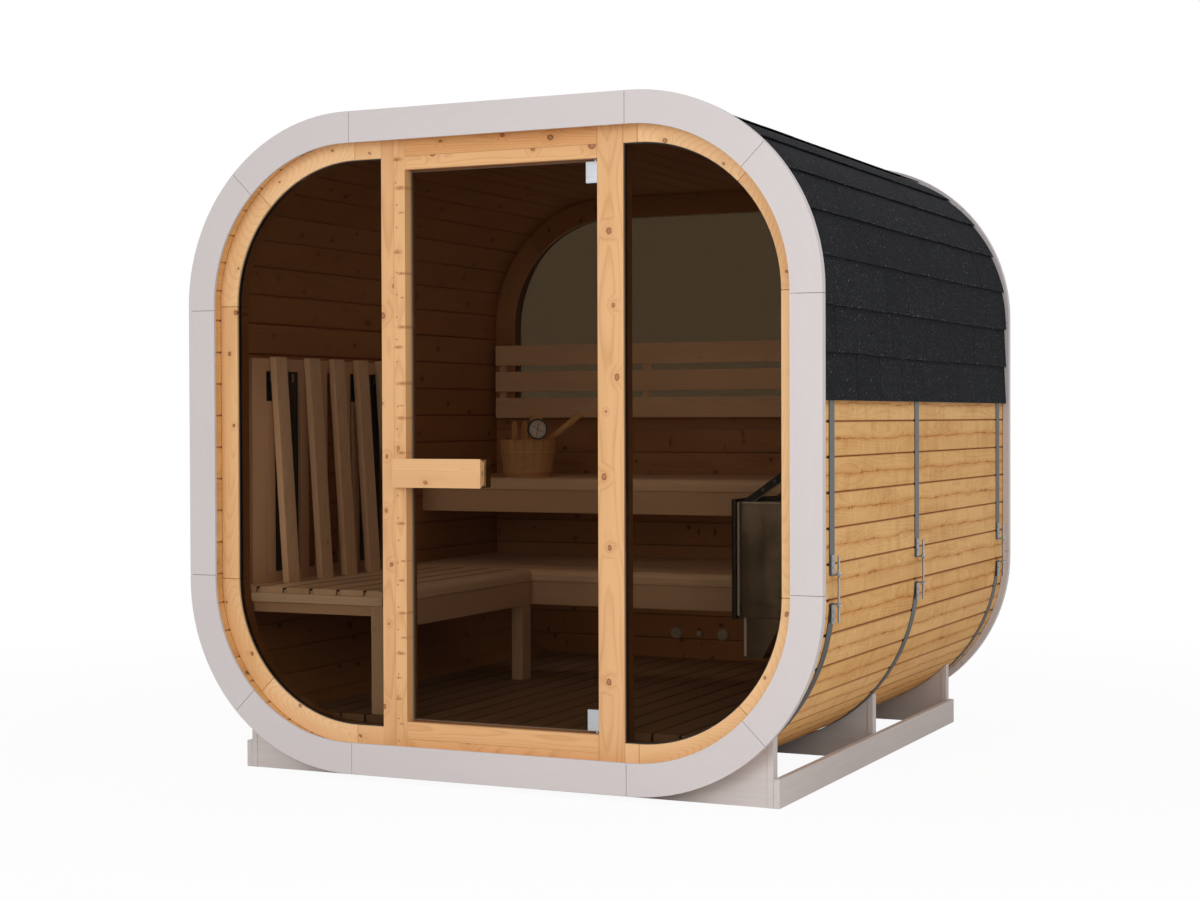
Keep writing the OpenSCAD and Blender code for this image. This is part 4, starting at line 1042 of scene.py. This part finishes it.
def heater():
    """A casing with round front corners, a lower box that draws in, and wall brackets."""
    cover_lo, cover_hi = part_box("heater_cover")
    case_lo, case_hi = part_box("heater_case")
    lip, corner, lower_in, inset = 0.006, 0.024, 0.020, 0.0015
    x0, x1 = cover_hi.x + 0.0003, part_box("heater_guard")[1].x
    y0, y1 = cover_lo.y - lip, cover_hi.y + lip
    z0, z1 = cover_lo.z + lip, cover_hi.z - lip

    def outline(z, back):
        points = [Vector((x1 - back, y1 - back, z)), Vector((x1 - back, y0 + back, z))]
        for x, y, start in ((x0 + corner, y0 + corner, 1.5), (x0 + corner, y1 - corner, 1.0)):
            for i in range(9):
                turn = math.pi * (start - i / 16)
                points.append(Vector((x + math.cos(turn) * (corner - back),
                                      y + math.sin(turn) * (corner - back), z)))
        return points

    boards = Boards(0.0)
    seam = 0.044
    rings = ((z0, inset), (z0 + 0.002, 0.0), (z0 + seam, 0.0), (z0 + seam + 0.0008, inset),
             (z0 + seam + 0.0022, inset), (z0 + seam + 0.003, 0.0), (z1 - 0.0025, 0.0),
             (z1, inset))
    boards.solid([outline(z, back) for z, back in rings], UPRIGHT)
    # the tray on top, sunk behind its rim
    boards.paint = 1
    boards.box((x0 + 0.02, y0 + 0.02, z1), (x1 - 0.02, y1 - 0.02, z1 + 0.002), (1, 0, 0))
    for i in range(7):
        y = y0 + 0.04 + i * 0.036
        boards.box((x0 + 0.03, y, z1 + 0.002), (x1 - 0.03, y + 0.006, z1 + 0.008), (1, 0, 0))
    boards.paint = 0
    # the lower box, its flange, and the brackets
    foot, top, low_z = 0.064, 0.139, case_lo.z
    side = [(0.0, z0), (0.0, low_z), (foot, low_z), (top, z0)]
    boards.solid([[Vector((x0 + lower_in + a, y, z)) for a, z in side]
                  for y in (y0 + lower_in, y1 - lower_in)], (0, 1, 0), 0.003)
    flange = 0.006
    boards.box((x0 + lower_in - flange, y0 + lower_in - flange, low_z),
               (x0 + lower_in + foot + flange, y1 - lower_in + flange, low_z + 0.003), (0, 1, 0),
               0.0008)
    width, share, wall = 0.040, 0.2, case_hi.x
    for y in (y0 + (y1 - y0) * share, y1 - (y1 - y0) * share - width):
        middle = (z0 + z1) / 2
        boards.box((x1, y, middle), (wall, y + width, middle + width), (1, 0, 0), 0.002)
    # a pale strip round each upright edge in front, and along the top: painted highlights
    boards.paint = 2
    for middle, start in ((y0 + corner, 1.5), (y1 - corner, 1.0)):
        strip = []
        for r, order in ((corner + 0.0006, range(9)), (corner - 0.0004, range(8, -1, -1))):
            for i in order:
                turn = math.pi * (start - 0.13 - i / 40)
                strip.append((x0 + corner + math.cos(turn) * r, middle + math.sin(turn) * r))
        boards.solid([[Vector((x, y, z)) for x, y in strip] for z in (z0 + 0.006, z1 - 0.004)],
                     UPRIGHT)
    boards.box((x0 + corner, y0 - 0.0008, z1 - 0.0055), (x1 - 0.002, y0 + 0.0006, z1 - 0.003),
               (1, 0, 0))
    # a pale strip down the lower box's front, near its left edge: a painted highlight
    x = x0 + lower_in + 0.003
    boards.box((x, y0 + lower_in - 0.0006, low_z + 0.006),
               (x + 0.008, y0 + lower_in + 0.0006, z0 - 0.002), UPRIGHT)
    boards.piece("heater_case_dressed", (POLISHED, BLACK_METAL, PAINTED_HIGHLIGHT_STEEL), "heater_steel",
                 "cabin", "heater_case")
    # the cover, with bright edge strips
    boards = Boards(0.002)
    boards.box(cover_lo, cover_hi, UPRIGHT)
    boards.paint = 1
    for y in (cover_lo.y - 0.0005, cover_hi.y - 0.0015):
        boards.box((cover_hi.x - 0.0035, y, cover_lo.z + 0.004),
                   (cover_hi.x - 0.0015, y + 0.002, cover_hi.z - 0.004), UPRIGHT, 0.0)
    boards.piece("heater_cover_dressed", (BLACK_METAL, POLISHED), "heater_steel", "cabin",
                 "heater_cover")
    # the guard: two bars that rise to the wall, with eyelets and a bright rim under them
    rise, bar_h, bar_w, flat = 0.160, 0.025, 0.010, 0.3
    foot = Vector((x0 + corner + bar_h * 1.6, 0, z1))
    bend = x1 - (x1 - x0 - corner) * flat
    head = Vector((bend + bar_h * 0.3, 0, z1 + rise - bar_h))
    side = [(x0 + corner, z1), (foot.x, z1), (head.x, head.z), (x1, head.z), (x1, z1 + rise),
            (bend, z1 + rise)]
    boards = Boards(0.0008)
    for y in (y0, y1 - bar_w):
        boards.solid([[Vector((x, yy, z)) for x, z in side] for yy in (y, y + bar_w)], (1, 0, 0))
    boards.box((x1 - 0.004, y0 + bar_w, head.z), (x1, y1 - bar_w, z1 + rise), (0, 1, 0))
    boards.piece("heater_guard_dressed", BLACK_METAL, "guard_metal", "cabin", "heater_guard")
    boards = Boards(0.0)
    for i in range(1, 5):
        at = foot.lerp(head, i / 5) + Vector((-0.008, y0, 0.010))
        boards.turned(at, OUTWARDS, [(0.0028, 0.0), (0.0042, 0.0), (0.0042, 0.0012),
                                     (0.0028, 0.0012)], 16, ring=True)
    down = Vector((0, 0, 0.0016))
    for start, end in ((foot, head), (head, Vector((x1, 0, head.z)))):
        boards.solid([[p - down + Vector((0, y, 0)) for p in (start, end)]
                      + [end + Vector((0, y, 0)), start + Vector((0, y, 0))]
                      for y in (y0, y0 + 0.010)], (1, 0, 0))
    boards.piece("heater_guard_rim", ZINC, "guard_metal", "cabin")


STAVES = 18
PAIL_H, PAIL_R0, STAVE = 0.144, 0.091, 0.010
EAR_TURN = math.radians(-45)


def pail():
    """Staves round a bottom, two hoops, and on the rim a wide ear in front and two prongs behind.
    """
    lo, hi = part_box("bucket")
    rim = (hi.x - lo.x) / 2
    middle = Vector(((lo.x + hi.x) / 2, (lo.y + hi.y) / 2, lo.z))

    def radius(z):
        return PAIL_R0 + (rim - PAIL_R0) * z / PAIL_H

    def at(turn, r, z):
        return middle + Vector((math.cos(turn) * r, math.sin(turn) * r, z))

    boards = Boards(0.001)
    for i in range(STAVES):
        middle_turn = 2 * math.pi * i / STAVES
        half = math.pi / STAVES - 0.0016
        turns = [middle_turn + half * (k / 2 - 1) for k in range(5)]
        boards.solid([[at(t, radius(z), z) for t in turns]
                      + [at(t, radius(z) - STAVE, z) for t in reversed(turns)]
                      for z in (0.0, PAIL_H)], UPRIGHT, 0.0008,
                     (math.cos(middle_turn), math.sin(middle_turn), 0), True)
    boards.turned(middle, UPRIGHT, [(0.0, 0.006), (radius(0.006) - STAVE, 0.006),
                                    (radius(0.015) - STAVE, 0.015), (0.0, 0.015)])
    hoop_h, hoop_t = 0.009, 0.0045
    for share in (0.12, 0.63):
        z = PAIL_H * share
        r = radius(z)
        boards.turned(middle, UPRIGHT, [
            (r - 0.001, z), (r + hoop_t * 0.7, z), (r + hoop_t, z + hoop_h * 0.3),
            (r + hoop_t, z + hoop_h * 0.7), (r + hoop_t * 0.7, z + hoop_h),
            (r - 0.001, z + hoop_h)], 64, ring=True)
    # ears: one wide board in front, and two prongs behind
    inner = rim - STAVE
    for turn, height, width, places in (
            (EAR_TURN, 0.098, 0.052, (0.0,)),
            (EAR_TURN + math.pi, 0.072, 0.024, (-0.021, 0.021))):
        out = Vector((math.cos(turn), math.sin(turn), 0))
        aside = Vector((-out.y, out.x, 0))
        for place in places:
            rings = []
            for z, share in ((-0.010, 1.0), (0.0, 1.0), (height - 0.016, 0.92),
                             (height - 0.003, 0.62), (height, 0.5)):
                ring = []
                for r, order in ((rim - 0.0006, (-1, 0, 1)), (inner, (1, 0, -1))):
                    for k in order:
                        t = place + k * width / 2 * share
                        ring.append(middle + aside * t + out * math.sqrt(r * r - t * t)
                                    + Vector((0, 0, PAIL_H + z)))
                rings.append(ring)
            boards.solid(rings, UPRIGHT, 0.0015, out)
    boards.piece("bucket_dressed", PAIL_WOOD, "pail_wood", "cabin", "bucket")
    return middle


def ladle(pail_middle):
    """A hollow bowl, and a handle that widens to a rounded end."""
    middle = pail_middle + Vector((-0.050, -0.025, 0.0153))
    boards = Boards(0.001)
    boards.turned(middle, UPRIGHT, [
        (0.0, 0.0), (0.023, 0.0), (0.025, 0.003), (0.025, 0.035), (0.024, 0.036),
        (0.022, 0.036), (0.021, 0.034), (0.021, 0.006), (0.0, 0.005)], 40)
    lean, turn, length = math.radians(51.5), math.radians(22), 0.340
    run = Vector((math.sin(lean) * math.cos(turn), math.sin(lean) * math.sin(turn),
                  math.cos(lean)))
    side = run.cross(Vector(UPRIGHT)).normalized()
    up = side.cross(run)
    rings = []
    for share, scale in ((0.075, 0.62), (0.3, 0.7), (0.7, 0.9), (0.975, 1.0), (0.992, 0.86),
                         (1.0, 0.6)):
        at = middle + Vector((0, 0, 0.018)) + run * (length * share)
        rings.append([at + (side * math.cos(t) * 0.0095 + up * math.sin(t) * 0.0135) * scale
                      for t in (2 * math.pi * (i + 0.5) / 12 for i in range(12))])
    boards.solid(rings, run, 0.0)
    boards.piece("ladle_dressed", PAIL_WOOD, "pail_wood", "cabin", "ladle")


def thermometer(pail_middle):
    """A round dial with a rim, two rings of ticks and two crossed hands."""
    out = Vector((math.cos(EAR_TURN), math.sin(EAR_TURN), 0))
    aside, up = Vector((-out.y, out.x, 0)), Vector(UPRIGHT)
    radius, depth, face = 0.040, 0.014, 0.0105
    inside = radius - 0.006
    back = pail_middle + out * (0.112 + 0.0003) + up * (PAIL_H + radius + 0.002)
    boards = Boards(0.0)
    boards.turned(back, out, [(inside, 0.0), (radius - 0.0015, 0.0), (radius, 0.002),
                              (radius, 0.0115), (radius - 0.0015, depth),
                              (inside + 0.0015, depth), (inside, 0.0125)], 64, ring=True)
    boards.paint = 1
    boards.turned(back, out, [(0.0, 0.0), (inside + 0.0002, 0.0), (inside + 0.0002, face),
                              (0.0, face)], 64)

    def bar(turn, inner, outer, width, height):
        way = aside * math.sin(turn) + up * math.cos(turn)
        wide = way.cross(out) * (width / 2)
        base = back + out * face
        boards.solid([[base + way * r - wide, base + way * r + wide,
                       base + way * r + wide + out * height, base + way * r - wide + out * height]
                      for r in (inner, outer)], way, 0.0)

    boards.paint = 2
    for i in range(36):
        long_tick = i % 3 == 0
        bar(2 * math.pi * i / 36, 0.0255 if long_tick else 0.0280, 0.031, 0.0009, 0.0002)
    for i in range(14):
        bar(math.radians(-65 + 10 * i), 0.014, 0.0165, 0.0008, 0.0002)
    bar(math.radians(118), -0.027, 0.027, 0.0016, 0.0012)
    boards.paint = 3
    bar(math.radians(12), -0.027, 0.027, 0.0018, 0.0018)
    boards.turned(back + out * face, out, [(0.0, 0.0), (0.003, 0.0), (0.003, 0.0024),
                                           (0.0, 0.0032)], 20)
    boards.piece("thermometer_dressed", (DIAL_RIM, DIAL_WHITE, DIAL_INK, DIAL_RED),
                 "dial_white", "cabin", "thermometer")


def vents():
    """Two vent caps, each with a slot, and a knob between them."""
    lo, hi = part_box("vents")
    z, radius = (lo.z + hi.z) / 2, (hi.z - lo.z) / 2
    boards = Boards(0.0)
    for x in (lo.x + radius, hi.x - radius):
        at = Vector((x, hi.y, z))
        boards.paint = 0
        boards.turned(at, OUTWARDS, [(0.0, 0.0), (radius, 0.0), (radius, 0.010),
                                     (radius - 0.003, 0.0145), (0.016, 0.0165),
                                     (0.008, 0.018), (0.0, 0.018)], 40)
        # the slot is a thin black bar: painted shade in the opening
        boards.paint = 1
        boards.box((x - 0.0075, lo.y - 0.0002, z - 0.0008), (x + 0.0075, lo.y + 0.002,
                                                            z + 0.0008), (1, 0, 0))
    boards.paint = 0
    boards.turned(Vector((lo.x + 0.124, hi.y, z)), OUTWARDS, [
        (0.0, 0.0), (0.006, 0.0), (0.006, 0.006), (0.0125, 0.008), (0.0125, 0.014),
        (0.010, 0.0175), (0.0, 0.018)], 32)
    boards.piece("vents_dressed", (PALE_PLASTIC, RUBBER), "vent_plastic", "cabin", "vents")


heater()
pail_middle = pail()
ladle(pail_middle)
thermometer(pail_middle)
vents()

# ---------------------------------------------------------------------------------------
# Steel bands and roofing
# ---------------------------------------------------------------------------------------

dress("steel_bands", GALVANISED, "band_steel", (0, 1, 0), 0.0)


def tensioners(node, side):
    """At each band a threaded rod draws two bent brackets together."""
    lo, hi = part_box(node)
    face = lo.x if side > 0 else -hi.x            # the bands' outer face
    half_w, sheet, tab, leg, bend, gap = 0.014, 0.003, 0.028, 0.060, 0.006, 0.082
    rod_out, rod_l, rod_r, nut_r, nut_h = 0.020, 0.197, 0.004, 0.008, 0.007
    middle_z = (lo.z + hi.z) / 2
    boards = Boards(0.0)
    for y in (lo.y + half_w, MIDDLE_BAND_Y, hi.y - half_w):

        def at(out, aside, height):
            return Vector((side * (face + out), y + aside, middle_z + height))

        for up in (1, -1):
            boards.paint = 0

            def section(aside, reach):
                corner = [(bend * (1 - math.sin(t)), bend * (1 - math.cos(t)))
                          for t in (math.pi / 2 * i / 4 for i in range(5))]
                inner = bend - sheet
                line = [(0.0, leg)] + corner[::-1] + [(reach, 0.0), (reach, sheet)]
                line += [(sheet + inner * (1 - math.sin(t)), sheet + inner * (1 - math.cos(t)))
                         for t in (math.pi / 2 * i / 4 for i in range(5))]
                line.append((sheet, leg))
                return [at(a, aside, up * (gap / 2 + b)) for a, b in line]

            boards.solid([section(-half_w, tab - 0.007), section(-half_w + 0.005, tab),
                          section(half_w - 0.005, tab), section(half_w, tab - 0.007)],
                         UPRIGHT, 0.0004)
            for b in (0.024, 0.046):
                boards.turned(at(sheet, 0, up * (gap / 2 + b)), (side, 0, 0),
                              [(0.0, 0.0), (0.0045, 0.0), (0.0036, 0.0016), (0.0, 0.0022)], 16)
            boards.paint = 1
            nut = gap / 2 + sheet
            boards.turned(at(rod_out, 0, up * nut), (0, 0, up),
                          [(0.0, 0.0), (0.0079, 0.0), (0.0079, 0.0012), (0.0, 0.0012)], 24)
            boards.turned(at(rod_out, 0, up * (nut + 0.0012)), (0, 0, up),
                          [(0.0, 0.0), (0.0066, 0.0), (nut_r, 0.0012), (nut_r, nut_h - 0.0024),
                           (0.0066, nut_h - 0.0012), (0.0, nut_h - 0.0012)], 6)
        pitch = 0.0016
        turns = int(rod_l / pitch)
        thread = [(0.0, 0.0)]
        for i in range(turns):
            thread += [(rod_r - 0.0006, i * pitch), (rod_r, (i + 0.5) * pitch)]
        thread += [(rod_r - 0.0006, turns * pitch), (0.0, rod_l)]
        boards.turned(at(rod_out, 0, -rod_l / 2), UPRIGHT, thread, 12)
    boards.piece(node + "_dressed", (BRACKET_ZINC, ZINC), "band_steel", "cabin", node)


tensioners("tensioners_left", -1)
tensioners("tensioners_right", 1)


def shingles():
    boards = Boards(0.0, 1)
    lo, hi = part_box("shingle_roof")
    start = lo.z - CORNER_LOW                      # where the roofing begins, round the shell
    half = SIDE + ARC + TOP / 2 - start            # from there to the ridge
    course, tab, lap = 0.14, 0.333, 0.03
    top_out = hi.x - SHELL_X
    base_out = top_out - 0.0125
    steps = 9
    for side in (1, -1):
        for k in range(math.ceil(half / course)):
            s0 = start + k * course
            s1 = min(s0 + course + lap, start + half)
            end = hi.y - rng.uniform(0.0, 0.006)
            y = lo.y - (k % 2) * tab / 2 - rng.uniform(0.0, 0.05)
            while y < end:
                width = tab * rng.choice((1.0, 1.0, 2.0, 0.7))
                slit = rng.uniform(0.0006, 0.0022)
                y0, y1 = max(y + slit, lo.y), min(y + width - slit, end)
                y += width
                if y1 - y0 < 0.03:
                    continue
                sag = rng.uniform(-0.002, 0.002)
                lift = rng.uniform(-0.0008, 0.0)
                rows = []
                for yy, slip in ((y0, sag), (y1, sag + rng.uniform(-0.001, 0.001))):
                    outer, inner = [], []
                    for j in range(steps + 1):
                        t = j / steps
                        s = s0 + (s1 - s0) * t + (slip if t == 0 and k else 0.0)
                        out = top_out - 0.0003 + lift * (1 - t) - 0.0095 * t
                        place = s if side > 0 else ACROSS - s
                        outer.append(on_shell(place, out, yy))
                        inner.append(on_shell(place, out - 0.0028, yy))
                    rows.append(outer + inner[::-1])
                _, normal = around((s0 + s1) / 2 if side > 0 else ACROSS - (s0 + s1) / 2)
                boards.solid(rows, (0, 1, 0), face=(normal.x, 0, normal.y))
    # the felt under the shingles
    felt = []
    steps = 60
    for yy in (lo.y + 0.001, hi.y - 0.001):
        outer, inner = [], []
        for j in range(steps + 1):
            s = start + 0.002 + (2 * half - 0.004) * j / steps
            outer.append(on_shell(s, base_out + 0.001, yy))
            inner.append(on_shell(s, base_out, yy))
        felt.append(outer + inner[::-1])
    boards.solid(felt, (0, 1, 0))
    boards.piece("shingle_courses", SHINGLE, "shingles", "cabin", "shingle_roof")


shingles()

# ---------------------------------------------------------------------------------------
# Stage, light and camera
# ---------------------------------------------------------------------------------------


def stage():
    bm = bmesh.new()
    bmesh.ops.create_circle(bm, cap_ends=True, segments=96, radius=9.0)
    mesh = bpy.data.meshes.new("floor")
    bm.to_mesh(mesh)
    bm.free()
    floor = bpy.data.objects.new("floor", mesh)
    bpy.context.scene.collection.objects.link(floor)
    floor.location.z = -0.0005
    g = Graph("floor")
    place = g.node("ShaderNodeTexCoord").outputs["Object"]
    distance = g.node("ShaderNodeVectorMath", {0: place}, operation="LENGTH").outputs["Value"]
    fade = g.node("ShaderNodeMapRange", {"Value": distance, "From Min": 1.8, "From Max": 5.0},
                  interpolation_type="SMOOTHSTEP").outputs[0]
    pale = g.node("ShaderNodeBsdfDiffuse", {"Color": (0.86, 0.86, 0.86, 1.0)}).outputs[0]
    glow = g.node("ShaderNodeEmission", {"Strength": 1.0}).outputs[0]
    seen = g.node("ShaderNodeLightPath").outputs["Is Camera Ray"]
    pale = g.node("ShaderNodeMixShader", {0: g.math("MULTIPLY", seen, 0.94), 1: pale,
                                          2: glow}).outputs[0]
    clear = g.node("ShaderNodeBsdfTransparent").outputs[0]
    mesh.materials.append(g.end(g.node("ShaderNodeMixShader",
                                       {0: fade, 1: pale, 2: clear}).outputs[0]))


def lights():
    world = bpy.data.worlds.new("studio")
    bpy.context.scene.world = world
    world.use_nodes = True
    nodes, links = world.node_tree.nodes, world.node_tree.links
    nodes.clear()
    out = nodes.new("ShaderNodeOutputWorld")
    light, white = nodes.new("ShaderNodeBackground"), nodes.new("ShaderNodeBackground")
    light.inputs["Strength"].default_value = 0.62
    white.inputs["Strength"].default_value = 1.0
    for background in (light, white):
        background.inputs["Color"].default_value = (1.0, 1.0, 1.0, 1.0)
    path, either = nodes.new("ShaderNodeLightPath"), nodes.new("ShaderNodeMath")
    both = nodes.new("ShaderNodeMath")
    for node in (either, both):
        node.operation = "MAXIMUM"
    links.new(path.outputs["Is Camera Ray"], either.inputs[0])
    links.new(path.outputs["Is Glossy Ray"], either.inputs[1])
    links.new(either.outputs[0], both.inputs[0])
    links.new(path.outputs["Is Transmission Ray"], both.inputs[1])
    mix = nodes.new("ShaderNodeMixShader")
    links.new(both.outputs[0], mix.inputs[0])
    links.new(light.outputs[0], mix.inputs[1])
    links.new(white.outputs[0], mix.inputs[2])
    links.new(mix.outputs[0], out.inputs[0])
    for name, place, aim, size, power in (
            ("key", (0.2, -7.6, 2.5), (0, 0, 1.0), (2.6, 2.6), 117.0),
            ("side", (3.3, -3.6, 2.4), (0, 0, 1.0), (2.4, 2.4), 31.0),
            ("base", (0.8, -2.6, 0.45), (0.5, 0, 0.1), (2.4, 0.4), 1.2),
            ("ceiling", (0.0, -0.20, 1.96), (0, 0, 0), (1.2, 1.2), 3.9),
            ("low", (0.0, 0.30, 0.42), (0.0, 0.9, 0.38), (1.3, 0.06), 1.1),
            ("shelf", (0.1, 0.42, 0.75), (0.1, 0.9, 0.71), (1.4, 0.04), 0.3),
            ("front", (-0.86, -0.975, 0.98), (-0.93, -0.5, 0.96), (0.08, 0.7), 0.45)):
        lamp = bpy.data.lights.new(name, "AREA")
        lamp.shape = "RECTANGLE"
        lamp.size, lamp.size_y = size
        lamp.energy = power
        holder = bpy.data.objects.new(name, lamp)
        holder.location = place
        holder.rotation_euler = (Vector(aim) - Vector(place)).to_track_quat(
            "-Z", "Y").to_euler()
        holder.visible_camera = False
        holder.visible_glossy = name in ("key", "side")
        bpy.context.scene.collection.objects.link(holder)


def camera():
    data = bpy.data.cameras.new("camera")
    data.lens = 62.21
    data.sensor_width = 36.0
    data.clip_end = 60.0
    holder = bpy.data.objects.new("camera", data)
    bpy.context.scene.collection.objects.link(holder)
    yaw, pitch, roll = 0.4362, -0.0157, -0.0034
    ahead = Vector((-math.sin(yaw) * math.cos(pitch), math.cos(yaw) * math.cos(pitch),
                    math.sin(pitch)))
    right = Vector((math.cos(yaw), math.sin(yaw), 0.0))
    up = right.cross(ahead)
    x = right * math.cos(roll) + up * math.sin(roll)
    y = up * math.cos(roll) - right * math.sin(roll)
    turn = Matrix((x, y, -ahead)).transposed().to_4x4()
    holder.matrix_world = Matrix.Translation((3.028, -6.748, 1.153)) @ turn
    bpy.context.scene.camera = holder


stage()
lights()
camera()
bpy.context.scene.view_settings.view_transform = "Standard"

bpy.context.view_layer.update()
